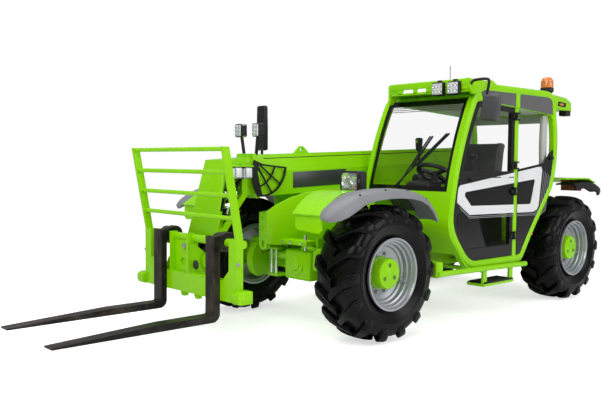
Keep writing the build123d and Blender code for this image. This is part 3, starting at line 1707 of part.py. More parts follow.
# Fan-shaped wire guard on the collar: rim, broad front strap, ribs that spread from its top, one inner bow
guard_thick = 14
guard_rim = 14
guard_strap = 55
guard_wire = 10
guard_top = ahead(505, 1394)
guard_tip = ahead(156, 1338)
with BuildSketch() as guard_outline:
    with BuildLine():
        ThreePointArc(guard_top, ahead(525, 1250), ahead(465, 1095))
        ThreePointArc(ahead(465, 1095), ahead(290, 1125), guard_tip)
        Polyline(guard_tip, ahead(420, 1362), guard_top)
    make_face()
with BuildSketch() as guard_mesh:
    add(guard_outline.sketch)
    offset(amount=-guard_rim, kind=Kind.INTERSECTION)
    add(guard_outline.sketch.moved(Location((-guard_strap, 0, 0))), mode=Mode.INTERSECT)
with BuildSketch() as guard_bow:
    with Locations(guard_top):
        Circle(230)
        Circle(230 - guard_wire, mode=Mode.SUBTRACT)
        for turn in (215, 235, 255):
            with PolarLocations(0, 1, start_angle=turn):
                with Locations((200, 0)):
                    Rectangle(400, guard_wire)
    add(guard_mesh.sketch, mode=Mode.INTERSECT)
with BuildPart() as boom_guard:
    with BuildSketch(side_plane(boom_y + boom_width / 2 + collar_proud + guard_thick)):
        add(guard_outline.sketch)
        add(guard_mesh.sketch, mode=Mode.SUBTRACT)
        add(guard_bow.sketch)
    extrude(amount=guard_thick)
save(boom_guard.part, "boom_guard")

# Work lamps under a bracket on the head's neck
head_lamp_size = (76, 70, 90)
head_lamp_rows = (660, 760)
head_lamp_sheet = 12
head_lamp_z = 1344
neck_left = head_y + neck_half
with BuildPart() as head_lamps:
    with Locations((front_axle_x + sum(head_lamp_rows) / 2, neck_left + 50, head_lamp_z)):
        Box(200, 100, head_lamp_sheet)
    for x in head_lamp_rows:
        lamp_drop = (head_lamp_sheet + head_lamp_size[2]) / 2
        with Locations((front_axle_x + x, neck_left + 60, head_lamp_z - lamp_drop)):
            Box(*head_lamp_size)
save(head_lamps.part, "head_lamps")
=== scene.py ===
# %% [markdown]
# This lesson dresses a packed telehandler in Blender. The CAD frame gives every place and size.
# The pieces that the photograph shows better are modelled here with Blender's own operators.

# %% Load the frame
import json
import math

import bmesh
import bpy
from mathutils import Matrix, Vector


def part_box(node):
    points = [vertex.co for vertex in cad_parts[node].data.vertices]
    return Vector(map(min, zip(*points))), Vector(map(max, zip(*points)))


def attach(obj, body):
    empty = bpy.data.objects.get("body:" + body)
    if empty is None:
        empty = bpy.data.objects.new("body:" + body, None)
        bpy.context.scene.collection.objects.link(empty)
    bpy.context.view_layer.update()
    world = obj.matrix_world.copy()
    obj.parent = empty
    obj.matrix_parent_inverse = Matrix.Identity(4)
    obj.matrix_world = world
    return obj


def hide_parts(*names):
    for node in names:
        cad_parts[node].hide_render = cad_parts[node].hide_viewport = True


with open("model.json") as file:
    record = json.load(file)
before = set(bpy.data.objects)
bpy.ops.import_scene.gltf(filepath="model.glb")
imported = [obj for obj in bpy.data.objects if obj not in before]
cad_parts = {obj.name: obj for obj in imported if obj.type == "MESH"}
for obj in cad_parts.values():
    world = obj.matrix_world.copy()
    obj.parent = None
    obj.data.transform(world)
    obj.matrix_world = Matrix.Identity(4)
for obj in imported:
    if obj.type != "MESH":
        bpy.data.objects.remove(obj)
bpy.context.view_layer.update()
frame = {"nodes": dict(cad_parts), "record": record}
nodes = frame["nodes"]
scene = bpy.context.scene
scene.view_settings.view_transform = "Standard"

# %% [markdown]
# The camera stands low in front of the left front wheel, as the photographer did. Its lens and
# turn were found by matching known points of the machine, so nothing has to be shifted later.

# %% Camera
eye = (4.8204, 4.5904, 1.3697)
turned_to = (227.173, -2.982, 0.543)  # yaw, pitch and roll in degrees
focal_px, picture_px, sensor_mm = 731.8, 603, 36
yaw, pitch, roll = (math.radians(a) for a in turned_to)
ahead = Vector((math.cos(yaw) * math.cos(pitch), math.sin(yaw) * math.cos(pitch), math.sin(pitch)))
right = ahead.cross(Vector((0, 0, 1))).normalized()
up = right.cross(ahead)
right, up = math.cos(roll) * right + math.sin(roll) * up, math.cos(roll) * up - math.sin(roll) * right
bpy.ops.object.camera_add()
camera = bpy.context.object
camera.matrix_world = Matrix((
    (right.x, up.x, -ahead.x, eye[0]),
    (right.y, up.y, -ahead.y, eye[1]),
    (right.z, up.z, -ahead.z, eye[2]),
    (0, 0, 0, 1),
))
camera.data.lens = focal_px / picture_px * sensor_mm
camera.data.clip_end = 200
scene.camera = camera
print("camera lens:", round(camera.data.lens, 2))

# %% [markdown]
# A white studio: one pale floor, a white world that only the camera and clear glass see, and three
# large soft lamps. The lamps stay at a plain level, so a paint renders about as it is written.
# Shader nodes are made by one helper here and again for the finishes.

# %% Floor, world and lamps


def put(made, **values):
    """Inputs of a shader node set by name; an underscore stands for a space."""
    for label, value in values.items():
        made.inputs[label.replace("_", " ")].default_value = value


def node(tree, kind, **values):
    """A new shader node with some of its inputs set."""
    made = tree.nodes.new(f"ShaderNode{kind}")
    put(made, **values)
    return made


bpy.ops.mesh.primitive_plane_add(size=60, location=(0, 0, -0.001))
floor = bpy.context.object
floor.name = "studio_floor"
pale = bpy.data.materials.new("pale_floor")
pale.use_nodes = True
tree = pale.node_tree
shader = tree.nodes["Principled BSDF"]
put(shader, Base_Color=(0.93, 0.93, 0.93, 1), Roughness=0.9, Specular_IOR_Level=0.1, Emission_Color=(1, 1, 1, 1))
path = node(tree, "LightPath")
lift_white = node(tree, "Math")
lift_white.operation = "MULTIPLY"
lift_white.inputs[1].default_value = 0.62
tree.links.new(path.outputs["Is Camera Ray"], lift_white.inputs[0])
tree.links.new(lift_white.outputs[0], shader.inputs["Emission Strength"])
floor.data.materials.append(pale)

scene.world = bpy.data.worlds.new("white_studio")
scene.world.use_nodes = True
tree = scene.world.node_tree
tree.nodes.clear()
path = node(tree, "LightPath")
seen = node(tree, "Math")
seen.operation = "MAXIMUM"
white = node(tree, "Background", Color=(1, 1, 1, 1))
soft = node(tree, "Background", Color=(1, 1, 1, 1), Strength=0.4)
mix = node(tree, "MixShader")
out = node(tree, "OutputWorld")
for start, end in (
    (path.outputs["Is Camera Ray"], seen.inputs[0]), (path.outputs["Is Transmission Ray"], seen.inputs[1]),
    (seen.outputs[0], mix.inputs[0]), (soft.outputs[0], mix.inputs[1]), (white.outputs[0], mix.inputs[2]),
    (mix.outputs[0], out.inputs[0]),
):
    tree.links.new(start, end)


def lamp(name, place, target, size, watts):
    """One soft rectangular lamp that looks at a point."""
    bpy.ops.object.light_add(type="AREA", location=place)
    light = bpy.context.object
    light.name = name
    light.data.size = size
    light.data.energy = watts
    light.rotation_euler = (Vector(target) - Vector(place)).to_track_quat("-Z", "Y").to_euler()
    return light


lamp("key_lamp", (5.5, 2.5, 6.5), (0, 0, 0.8), 5, 330)
lamp("side_lamp", (-3.0, 8.0, 4.5), (-1, 0, 1), 5, 250)
lamp("top_lamp", (-1.0, -1.0, 8.0), (-0.5, 0, 1), 6, 240)

# %% [markdown]
# Every finish is a small node tree on Object coordinates. One noise varies the colour and the gloss a
# little, and a fine bump gives the surface its own grain. Wear is a second colour in stretched specks.

# %% A maker of finishes


def finish(
    name, colour, rough, vary=0.12, scale=6, bump=0.02, grain=220, metal=0.0, coat=0.0, worn=None, shine=0.5,
):
    """A procedural finish: one noise for colour and gloss, a fine one as a bump, specks as wear."""
    mat = bpy.data.materials.new(name)
    mat.use_nodes = True
    nt = mat.node_tree
    link = nt.links.new
    bsdf = nt.nodes["Principled BSDF"]
    put(bsdf, Metallic=metal, Coat_Weight=coat, Coat_Roughness=0.12, Specular_IOR_Level=shine)
    place = node(nt, "TexCoord").outputs["Object"]
    cloud = node(nt, "TexNoise", Scale=scale, Detail=6)
    link(place, cloud.inputs["Vector"])
    tint = node(nt, "ValToRGB")
    for stop, position, share in zip(tint.color_ramp.elements, (0.3, 0.7), (1 - vary, 1 + vary)):
        stop.position = position
        stop.color = (*(min(1, c * share) for c in colour), 1)
    link(cloud.outputs["Fac"], tint.inputs["Fac"])
    top = tint.outputs["Color"]
    if worn:
        stretch = node(nt, "Mapping", Scale=worn["stretch"])
        specks = node(nt, "TexNoise", Scale=worn["scale"], Detail=10, Roughness=0.7)
        cut = node(nt, "MapRange", From_Min=worn["start"], From_Max=worn["start"] + worn["soft"])
        blend = node(nt, "Mix")
        blend.data_type = "RGBA"
        blend.inputs[7].default_value = (*worn["colour"], 1)
        link(place, stretch.inputs["Vector"])
        link(stretch.outputs["Vector"], specks.inputs["Vector"])
        link(specks.outputs["Fac"], cut.inputs["Value"])
        link(cut.outputs["Result"], blend.inputs[0])
        link(top, blend.inputs[6])
        top = blend.outputs[2]
    link(top, bsdf.inputs["Base Color"])
    gloss = node(nt, "MapRange", To_Min=max(0.02, rough - 0.08), To_Max=min(1, rough + 0.08))
    link(cloud.outputs["Fac"], gloss.inputs["Value"])
    link(gloss.outputs["Result"], bsdf.inputs["Roughness"])
    fine = node(nt, "TexNoise", Scale=grain, Detail=3)
    link(place, fine.inputs["Vector"])
    raised = node(nt, "Bump", Strength=bump, Distance=0.002)
    link(fine.outputs["Fac"], raised.inputs["Height"])
    link(raised.outputs["Normal"], bsdf.inputs["Normal"])
    return mat


# %% The finishes of this machine
green = finish(
    "lime_paint", (0.28, 0.69, 0.001), 0.26, vary=0.05, scale=3, bump=0.03, grain=160, coat=0.12, shine=0.15,
)
black = finish("black_paint", (0.006, 0.006, 0.0065), 0.35, vary=0.3, scale=8, bump=0.05, shine=0.3)
casting = finish("dark_casting", (0.03, 0.03, 0.03), 0.6, vary=0.3, bump=0.25, grain=120)
rubber = finish(
    "tyre_rubber", (0.0028, 0.0028, 0.003), 0.28, vary=0.35, scale=9, bump=0.12, grain=150, shine=0.15,
)
flap_rubber = finish("flap_rubber", (0.007, 0.007, 0.007), 0.5, vary=0.3, bump=0.1, shine=0.3)
grey = finish("grey_plastic", (0.22, 0.225, 0.24), 0.45, vary=0.08, bump=0.12, grain=400)
plastic = finish("black_plastic", (0.009, 0.009, 0.0095), 0.45, vary=0.2, bump=0.12, grain=420, shine=0.35)
shell_grey = finish("shell_grey", (0.055, 0.057, 0.063), 0.4, vary=0.1, bump=0.1, grain=420)
silver = finish("rim_silver", (0.4, 0.415, 0.445), 0.3, vary=0.06, scale=10, bump=0.03, metal=0.55)
chrome = finish("chrome_rod", (0.78, 0.79, 0.8), 0.12, vary=0.04, bump=0.01, metal=1.0)
steel = finish(
    "fork_steel", (0.009, 0.0085, 0.008), 0.4, vary=0.3, bump=0.12, metal=0.2, shine=0.2,
    worn={"scale": 7, "start": 0.47, "soft": 0.16, "colour": (0.06, 0.047, 0.036), "stretch": (0.3, 1, 0.4)},
)
white_paint = finish("white_paint", (0.8, 0.81, 0.82), 0.3, vary=0.03, bump=0.02, coat=0.3)
seat_cloth = finish("seat_fabric", (0.1, 0.098, 0.095), 0.85, vary=0.2, bump=0.4, grain=700)


def lens(name, colour, alpha, rough=0.06):
    """Clear or tinted glass and lamp plastic: a smooth coat whose see-through share is constant."""
    mat = finish(name, colour, rough, vary=0.04, bump=0.0)
    bsdf = mat.node_tree.nodes["Principled BSDF"]
    put(bsdf, Alpha=alpha, Coat_Weight=1.0, Coat_Roughness=0.03)
    mat.surface_render_method = "BLENDED"
    return mat


glass = lens("tinted_glass", (0.03, 0.036, 0.036), 0.02)
clear = lens("clear_lens", (0.75, 0.78, 0.8), 0.14)
red = lens("red_lens", (0.45, 0.012, 0.01), 0.92)
amber = lens("amber_lens", (0.85, 0.22, 0.01), 0.9)
print("finishes:", len(bpy.data.materials))

# %% [markdown]
# Each CAD node takes the finish of its slot in the record. The shapes stay as they are packed.

# %% Finishes for the CAD nodes
by_slot = {
    "green_paint": green, "black_paint": black, "dark_casting": casting, "black_rubber": flap_rubber,
    "grey_plastic": grey, "black_plastic": plastic, "tinted_glass": glass, "clear_lens": clear,
    "red_lens": red, "amber_lens": amber, "chrome_rod": chrome, "seat_fabric": seat_cloth,
    "tyre_rubber": rubber, "rim_silver": silver,
}
for sub in frame["record"]["subparts"]:
    mesh = nodes[sub["node"]].data
    mesh.materials.clear()
    mesh.materials.append(by_slot[sub["material_slot"]])
nodes["forks"].data.materials[0] = steel

# %% [markdown]
# Most pieces start as a flat ring of points, which is extruded from station to station like a
# pulled section, or spun round an axle like turned work. These helpers do it with operators, and
# they end each piece with outward normals, a bevel, a finish and the body that it rides on.

# %% Helpers for modelling


def rest():
    """Object mode with nothing selected."""
    if bpy.context.object and bpy.context.object.mode != "OBJECT":
        bpy.ops.object.mode_set(mode="OBJECT")
    bpy.ops.object.select_all(action="DESELECT")


def ring(name, points, fill="NGON"):
    """A circle primitive whose points are moved to a section's corners; it is left in edit mode."""
    rest()
    bpy.ops.mesh.primitive_circle_add(vertices=len(points), fill_type=fill)
    piece = bpy.context.object
    piece.name = name
    bpy.ops.object.mode_set(mode="EDIT")
    mesh = bmesh.from_edit_mesh(piece.data)
    mesh.verts.ensure_lookup_table()
    for vert, point in zip(mesh.verts, points):
        vert.co = point
    bmesh.update_edit_mesh(piece.data)
    return piece


def done(piece, material, body="chassis", smooth=35, bevel=0.0, segments=2):
    """Outward normals, an applied bevel, smooth shading, a finish and a body to ride on."""
    if piece.mode != "EDIT":
        rest()
        piece.select_set(True)
        bpy.context.view_layer.objects.active = piece
        bpy.ops.object.mode_set(mode="EDIT")
    bpy.ops.mesh.select_all(action="SELECT")
    bpy.ops.mesh.remove_doubles(threshold=0.00005)
    bpy.ops.mesh.normals_make_consistent(inside=False)
    bpy.ops.object.mode_set(mode="OBJECT")
    if bevel:
        edge = piece.modifiers.new("edge", "BEVEL")
        edge.width = bevel
        edge.segments = segments
        edge.limit_method = "ANGLE"
        edge.angle_limit = math.radians(35)
        bpy.ops.object.modifier_apply(modifier="edge")
    bpy.ops.object.transform_apply(location=True, rotation=True, scale=True)
    bpy.ops.object.shade_smooth_by_angle(angle=math.radians(smooth))
    piece.data.materials.clear()
    piece.data.materials.append(material)
    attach(piece, body)
    return piece


def pulled(name, rings):
    """A section pulled through stations: each new ring is one extrude of the end face."""
    piece = ring(name, rings[0])
    mesh = bmesh.from_edit_mesh(piece.data)
    mesh.verts.ensure_lookup_table()
    last = list(mesh.verts)
    for points in rings[1:]:
        bpy.ops.mesh.extrude_region_move()
        mesh = bmesh.from_edit_mesh(piece.data)
        step = []
        for vert in last:
            step.append(next(e.other_vert(vert) for e in vert.link_edges if e.other_vert(vert).select))
        for vert, point in zip(step, points):
            vert.co = point
        last = step
    bmesh.update_edit_mesh(piece.data)
    return piece


def turned(name, profile, steps, closed=True):
    """A section of (outboard, radius) points spun once round the Y axis, which is the axle."""
    points = [(0, a, r) for a, r in profile]
    piece = ring(name, points, fill="NOTHING")
    if not closed:
        mesh = bmesh.from_edit_mesh(piece.data)
        mesh.edges.ensure_lookup_table()
        ends = {0, len(points) - 1}
        for edge in list(mesh.edges):
            if {v.index for v in edge.verts} == ends:
                mesh.edges.remove(edge)
        bmesh.update_edit_mesh(piece.data)
    bpy.ops.mesh.select_all(action="SELECT")
    bpy.ops.mesh.spin(steps=steps, angle=2 * math.pi, center=(0, 0, 0), axis=(0, 1, 0))
    return piece


def joined(name, pieces):
    """Several pieces made one object."""
    rest()
    for piece in pieces:
        piece.select_set(True)
    bpy.context.view_layer.objects.active = pieces[0]
    bpy.ops.object.join()
    pieces[0].name = name
    return pieces[0]


def copied(piece, name, turn=0.0, mirror=False):
    """A copy with its own mesh, turned round the Y axis or mirrored to the other side."""
    rest()
    twin = piece.copy()
    twin.data = piece.data.copy()
    twin.name = name
    scene.collection.objects.link(twin)
    change = Matrix.Rotation(turn, 4, "Y")
    if mirror:
        change @= Matrix.Diagonal((1, -1, 1, 1))
    twin.data.transform(change)
    if mirror:
        twin.data.flip_normals()
    return twin


# %% [markdown]
# The tyres are farm tyres: a tall carcass and long slanting lugs that run over the shoulder. The
# carcass is turned work. One lug is pulled along its slant and copied round both halves.

# %% Tyres and wheels
wheel_places = {}
for end in ("front", "rear"):
    for hand in ("left", "right"):
        low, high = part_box(f"tyre_{end}_{hand}")
        wheel_places[f"{end}_{hand}"] = (low + high) / 2
low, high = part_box("tyre_front_left")
tyre_r = (high.z - low.z) / 2
tyre_half = (high.y - low.y) / 2
print("tyre radius:", round(tyre_r, 4), "half width:", round(tyre_half, 4))

lugs = 14
lug_height = 0.044
tread = tyre_r - lug_height
half_profile = [
    (0.152, 0.257), (0.156, 0.292), (0.176, 0.318), (0.192, 0.352), (0.1985, 0.372), (0.2, 0.376),
    (0.197, 0.38), (0.198, 0.41), (0.188, 0.45), (0.165, 0.474), (0.09, tread - 0.002),
]
carcass_profile = [(-a, r) for a, r in half_profile] + [(0, tread + 0.002)] + half_profile[::-1]


def on_tyre(across, angle, radius):
    """A point on the tyre, from its place across the tread, its angle and its radius."""
    return Vector((radius * math.sin(angle), across, radius * math.cos(angle)))


def lug_rings(side, offset):
    """Stations of one lug: across the tread, its slant angle, top radius and half width."""
    stations = [
        (-0.02, 0.07, tyre_r - 0.002, 0.036),
        (0.012, 0.02, tyre_r, 0.035),
        (0.055, -0.055, tyre_r, 0.037),
        (0.1, -0.125, tyre_r - 0.002, 0.041),
        (0.14, -0.18, tyre_r - 0.008, 0.046),
        (0.175, -0.222, tyre_r - 0.022, 0.05),
        (0.196, -0.245, tyre_r - 0.05, 0.05),
        (0.2025, -0.26, tyre_r - 0.09, 0.046),
        (0.201, -0.268, tyre_r - 0.118, 0.036),
    ]
    rings = []
    for across, slant, top, half in stations:
        foot = min(tread - 0.012, top - 0.03)
        spread = half / tyre_r
        foot_across = min(across, 0.185)
        rings.append([
            on_tyre(side * foot_across, offset + slant - spread * 1.2, foot),
            on_tyre(side * across, offset + slant - spread * 0.85, top),
            on_tyre(side * across, offset + slant + spread * 0.85, top),
            on_tyre(side * foot_across, offset + slant + spread * 1.2, foot),
        ])
    return rings


carcass = turned("tyre_carcass", carcass_profile, 60)
done(carcass, rubber, smooth=50)
pieces = [carcass]
for side in (1, -1):
    offset = 0 if side > 0 else math.pi / lugs
    first = done(pulled("lug", lug_rings(side, offset)), rubber, bevel=0.006, smooth=40)
    pieces.append(first)
    for k in range(1, lugs):
        pieces.append(copied(first, "lug", turn=2 * math.pi * k / lugs))
tyre = joined("tyre_model", pieces)

# %% [markdown]
# The wheel is a pressed disc in a drop-centre rim with several rolled steps, and a green planetary
# hub stands out of it. Both are turned from their sections. The hub's three holes are shallow dark
# studs, because they are too small in the picture for a cut to show. Their darker green is painted
# shade.

# %% Rim and hub
rim_profile = [
    (0.182, 0.281), (0.182, 0.268), (0.17, 0.262), (0.158, 0.262), (0.15, 0.25), (0.118, 0.247),
    (0.112, 0.236), (0.08, 0.232), (0.074, 0.215), (0.06, 0.208), (0.048, 0.17), (0.04, 0.13),
    (0.04, 0.104), (0.02, 0.104), (0.02, 0.2), (0.0, 0.238), (-0.16, 0.24), (-0.172, 0.262),
    (-0.182, 0.268), (-0.182, 0.281), (-0.163, 0.279), (-0.158, 0.2545), (0.158, 0.2545), (0.163, 0.279),
]
hub_profile = [
    (0.03, 0.128), (0.055, 0.128), (0.06, 0.122), (0.128, 0.12), (0.138, 0.114), (0.14, 0.105), (0.14, 0.03),
    (0.143, 0.026), (0.143, 0.0001),
]
rim = done(turned("rim_model", rim_profile, 64), silver, smooth=40)
hub = turned("hub_model", hub_profile, 48, closed=False)
done(hub, green, smooth=40)
print("tyre faces:", len(tyre.data.polygons))


def stud(name, place, direction, radius, height, sides=6, material=silver, body="chassis", bevel=0.0015):
    """A bolt head or nut: a ring pulled along its axis."""
    axis = Vector(direction).normalized()
    first = axis.orthogonal().normalized()
    second = axis.cross(first)
    turns = [2 * math.pi * k / sides for k in range(sides)]
    flat = [Vector(place) + radius * (math.cos(t) * first + math.sin(t) * second) for t in turns]
    piece = pulled(name, [flat, [p + axis * height for p in flat]])
    return done(piece, material, body, bevel=bevel)


# The hub's holes are painted shade: a darker green where the hollow of each hole is in shade.
hub_hole_painted_shade = finish("hub_hole_painted_shade", (0.07, 0.17, 0.002), 0.5, vary=0.2)
outboard = (0, 1, 0)
hole_circle, hole_count = 0.066, 3
nut_circle, nut_count = 0.152, 10
hub_dots = []
for k in range(hole_count):
    turn = math.pi / 2 + k * 2 * math.pi / hole_count
    at = Vector((hole_circle * math.cos(turn), 0.1395, hole_circle * math.sin(turn)))
    hub_dots.append(stud("hub_hole", at, outboard, 0.017, 0.0014, sides=18, material=hub_hole_painted_shade))
rim_nuts = []
for k in range(nut_count):
    turn = k * 2 * math.pi / nut_count
    at = Vector((nut_circle * math.cos(turn), 0.044, nut_circle * math.sin(turn)))
    rim_nuts.append(stud("wheel_nut", at, outboard, 0.013, 0.02))
valve_at = Vector((-0.2, 0.085, -0.075))
rim_nuts.append(stud("valve_plate", valve_at, outboard, 0.026, 0.012, sides=4))
rim_nuts.append(stud("valve", valve_at + Vector((0, 0.01, 0)), outboard, 0.008, 0.03, sides=10))
nuts = joined("wheel_nuts", rim_nuts)
dots = joined("hub_holes", hub_dots)
for place, centre in wheel_places.items():
    side = 1 if centre.y > 0 else -1
    body = f"wheel_{place}"
    made = []
    for model, name in ((tyre, "tyre"), (rim, "rim"), (hub, "hub"), (nuts, "nuts"), (dots, "holes")):
        twin = copied(model, f"{name}_{place}_detail", mirror=side < 0)
        twin.data.transform(Matrix.Translation(centre))
        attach(twin, body)
        made.append(twin)
    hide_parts(f"tyre_{place}")
    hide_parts(f"wheel_{place}")
for model in (tyre, rim, hub, nuts, dots):
    bpy.data.objects.remove(model)
print("wheels dressed:", len(wheel_places))

# %% [markdown]
# More helpers. A plate is a flat outline with a thickness. A spun piece is turned work about any axis.
# A pipe is a curve with a round bevel that is converted to a mesh. A block is a cube with round edges.

# %% More helpers


def plate(name, outline, start, end, material, axis="Y", bevel=0.0, smooth=35, body="chassis"):
    """An outline in the plane across one axis, pulled from start to end along that axis."""
    spread = {
        "X": lambda a, b, c: (c, a, b),
        "Y": lambda a, b, c: (a, c, b),
        "Z": lambda a, b, c: (a, b, c),
    }[axis]
    rings = [[Vector(spread(a, b, c)) for a, b in outline] for c in (start, end)]
    return done(pulled(name, rings), material, body, bevel=bevel, smooth=smooth)


def spun(name, profile, centre, axis, steps, material, smooth=40, body="chassis"):
    """Points of (along, radius) turned once about an axis through a centre."""
    along = Vector(axis).normalized()
    out = along.orthogonal().normalized()
    piece = ring(name, [Vector(centre) + along * a + out * r for a, r in profile], fill="NOTHING")
    bpy.ops.mesh.select_all(action="SELECT")
    bpy.ops.mesh.spin(steps=steps, angle=2 * math.pi, center=centre, axis=along)
    return done(piece, material, body, smooth=smooth)


def pipe(name, points, radius, material, bend=True, body="chassis"):
    """A curve through points with a round bevel, converted to a mesh."""
    rest()
    bpy.ops.curve.primitive_nurbs_path_add()
    path = bpy.context.object
    path.name = name
    path.data.splines.clear()
    line = path.data.splines.new("NURBS" if bend else "POLY")
    line.points.add(len(points) - 1)
    for spot, place in zip(line.points, points):
        spot.co = (*place, 1)
    if bend:
        line.order_u = 3
        line.use_endpoint_u = True
    path.data.resolution_u = 6
    path.data.bevel_depth = radius
    path.data.bevel_resolution = 3
    path.data.use_fill_caps = True
    bpy.ops.object.convert(target="MESH")
    return done(bpy.context.object, material, body, smooth=60)


def block(name, low, high, material, bevel=0.01, segments=3, taper=None, body="chassis"):
    """A cube moved to its corners, with its edges rounded; taper draws the top in by shares of x and y."""
    rest()
    low, high = Vector(low), Vector(high)
    bpy.ops.mesh.primitive_cube_add(size=1)
    piece = bpy.context.object
    piece.name = name
    bpy.ops.object.mode_set(mode="EDIT")
    bpy.ops.mesh.select_all(action="SELECT")
    bpy.ops.transform.resize(value=high - low)
    bpy.ops.transform.translate(value=(low + high) / 2)
    if taper:
        mesh = bmesh.from_edit_mesh(piece.data)
        middle = (low + high) / 2
        for vert in mesh.verts:
            if vert.co.z > middle.z:
                vert.co.x = middle.x + (vert.co.x - middle.x) * taper[0]
                vert.co.y = middle.y + (vert.co.y - middle.y) * taper[1]
        bmesh.update_edit_mesh(piece.data)
    return done(piece, material, body, bevel=bevel, segments=segments, smooth=50)


def oblong(a, b, c, d):
    """The corners of a rectangle from (a, b) to (c, d)."""
    return [(a, b), (c, b), (c, d), (a, d)]


def outward(stations, k):
    """The direction across a path of stations at one of them, in the side view."""
    before, after = stations[max(k - 1, 0)], stations[min(k + 1, len(stations) - 1)]
    run = Vector((after[0] - before[0], 0, after[1] - before[1])).normalized()
    return Vector((-run.z, 0, run.x))


# %% [markdown]
# The front flares are moulded grey plastic. On the real machine each one is a shell that follows the
# tyre and ends in a rounded tongue. A section with a crown and a lip is pulled through fourteen
# stations, which is easier to steer than a bent plate. A dark liner closes the arch below it.

# %% Front flares
flare_stations = [  # x, top, inner y, outer y, lip
    (-0.035, 0.93, 0.80, 1.012, 0.03), (0.02, 1.01, 0.80, 1.018, 0.035), (0.10, 1.085, 0.80, 1.02, 0.04),
    (0.20, 1.135, 0.80, 1.02, 0.045), (0.32, 1.163, 0.80, 1.02, 0.05), (0.46, 1.172, 0.80, 1.02, 0.05),
    (0.60, 1.173, 0.80, 1.02, 0.052), (0.75, 1.168, 0.80, 1.02, 0.058), (0.88, 1.148, 0.80, 1.018, 0.062),
    (1.0, 1.112, 0.812, 1.02, 0.08), (1.09, 1.072, 0.83, 1.015, 0.082), (1.155, 1.034, 0.85, 1.0, 0.07),
    (1.195, 1.002, 0.87, 0.98, 0.05), (1.215, 0.978, 0.895, 0.955, 0.025),
]
arch = ((0.61, -0.024), (0.81, -0.024), (0.81, -0.03), (0.61, -0.03))
arch_from, arch_to = 0, 0.95
flare_rings, arch_rings = [], []
for k, (x, top, inner, outer, lip) in enumerate(flare_stations):
    lift = outward(flare_stations, k)
    wide = outer - inner
    section = [
        (inner, -0.002), (inner + 0.35 * wide, 0.012), (inner + 0.7 * wide, 0.008), (outer - 0.02, -0.006),
        (outer, -0.024), (outer, -lip - 0.012), (outer - 0.012, -lip - 0.012), (outer - 0.03, -0.03),
        (inner + 0.5 * wide, -0.014), (inner, -0.02),
    ]
    flare_rings.append([Vector((x, y, top)) + lift * up_ for y, up_ in section])
    if arch_from < x < arch_to:
        arch_rings.append([Vector((x, y, top)) + lift * up_ for y, up_ in arch])
flare = done(pulled("flare_left", flare_rings), grey, smooth=50)
for x, z in ((0.12, 1.096), (0.36, 1.168), (0.62, 1.174), (0.9, 1.142)):
    stud("flare_screw", (x, 0.985, z), (0, 0.6, 1), 0.009, 0.006, sides=12, material=casting)
flare_other = copied(flare, "flare_right", mirror=True)
flares = joined("front_flares_moulded", [flare, flare_other])
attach(flares, "chassis")
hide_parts("front_flares")
arch_liner = done(pulled("arch_liner_left", arch_rings), plastic, smooth=50)
arch_liners = joined("arch_liners", [arch_liner, copied(arch_liner, "arch_liner_right", mirror=True)])
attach(arch_liners, "chassis")
print("flare faces:", len(flares.data.polygons), "liner faces:", len(arch_liners.data.polygons))

# %% [markdown]
# The head lamps are black rounded housings with two bright bowls and an amber spot behind a clear
# cover in a black frame. The work lamps on the roof are small black boxes with six bright cells each.
# Bowls and cells are turned, and boxes are blocks: each lamp is small, so plain shapes are enough.

# %% Head lamps and roof work lamps


def lamp_cells(name, place, across, upward, bowl, body="chassis"):
    """Small bright bowls in rows and columns that look forward."""
    x, y, z = place
    for a in across:
        for b in upward:
            spun(name, bowl, (x, y + a, z + b), (1, 0, 0), 10, chrome, 20, body=body)


lamp_parts, lens_parts = [], []
head_bowl = [
    (0.0, 0.001), (0.002, 0.02), (0.008, 0.04), (0.016, 0.052), (0.016, 0.056), (-0.004, 0.056), (-0.004, 0.001),
]
amber_bowl = [(0, 0.001), (0.006, 0.006), (0.003, 0.014), (-0.002, 0.015), (-0.002, 0.001)]
edge = [(0, 1.158), (0.07, 1.158), (0.088, 1.176), (0.088, 1.29), (0.07, 1.308)]
edge += [(-across_, z) for across_, z in reversed(edge)]
for side in (1, -1):
    y = side * 0.70
    lamp_parts += [
        block("lamp_body", (0.60, y - 0.094, 1.152), (0.70, y + 0.094, 1.316), plastic, 0.03, 4),
        pipe("lamp_frame", [(0.712, y + across_, z) for across_, z in edge], 0.009, plastic, bend=False),
        block("lamp_foot", (0.63, y - 0.03, 1.16), (0.68, y + 0.03, 1.19), plastic, 0.006),
    ]
    for shift, size in ((-0.032, 1.12), (0.05, 0.7)):
        bowl = [(a, r * size) for a, r in head_bowl]
        made = spun("lamp_bowl", bowl, (0.7, y + shift * side, 1.24), (1, 0, 0), 10, chrome, 5)
        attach(made, "chassis")
    backing = [(y - 0.078, 1.168), (y + 0.078, 1.168), (y + 0.08, 1.298), (y - 0.08, 1.298)]
    plate("lamp_mirror", backing, 0.699, 0.7025, grey, "X", 0.001)
    spun("lamp_amber", amber_bowl, (0.706, y + 0.045 * side, 1.195), (1, 0, 0), 14, amber)
    lens_parts.append(block("lamp_cover", (0.702, y - 0.082, 1.162), (0.722, y + 0.082, 1.304), clear, 0.012, 4))
work_bowl = [(0.001, 0.001), (0.007, 0.01), (0.008, 0.0155), (-0.001, 0.0155), (-0.001, 0.001)]
for y in (0.68, 0.843):
    lamp_parts += [
        block("work_lamp", (-0.446, y - 0.062, 1.968), (-0.402, y + 0.062, 2.086), plastic, 0.012, 3),
        block("work_bracket", (-0.47, y - 0.02, 2.06), (-0.43, y + 0.02, 2.105), plastic, 0.004),
    ]
    plate("work_mirror", oblong(y - 0.05, 1.982, y + 0.05, 2.072), -0.403, -0.4, white_paint, "X", 0.001)
    lamp_cells("work_cell", (-0.4, y, 2.027), (-0.034, 0, 0.034), (-0.022, 0.022), work_bowl)
    lens_parts.append(block("work_cover", (-0.401, y - 0.054, 1.978), (-0.39, y + 0.054, 2.076), clear, 0.004))
housings = joined("lamp_housings_rounded", lamp_parts)
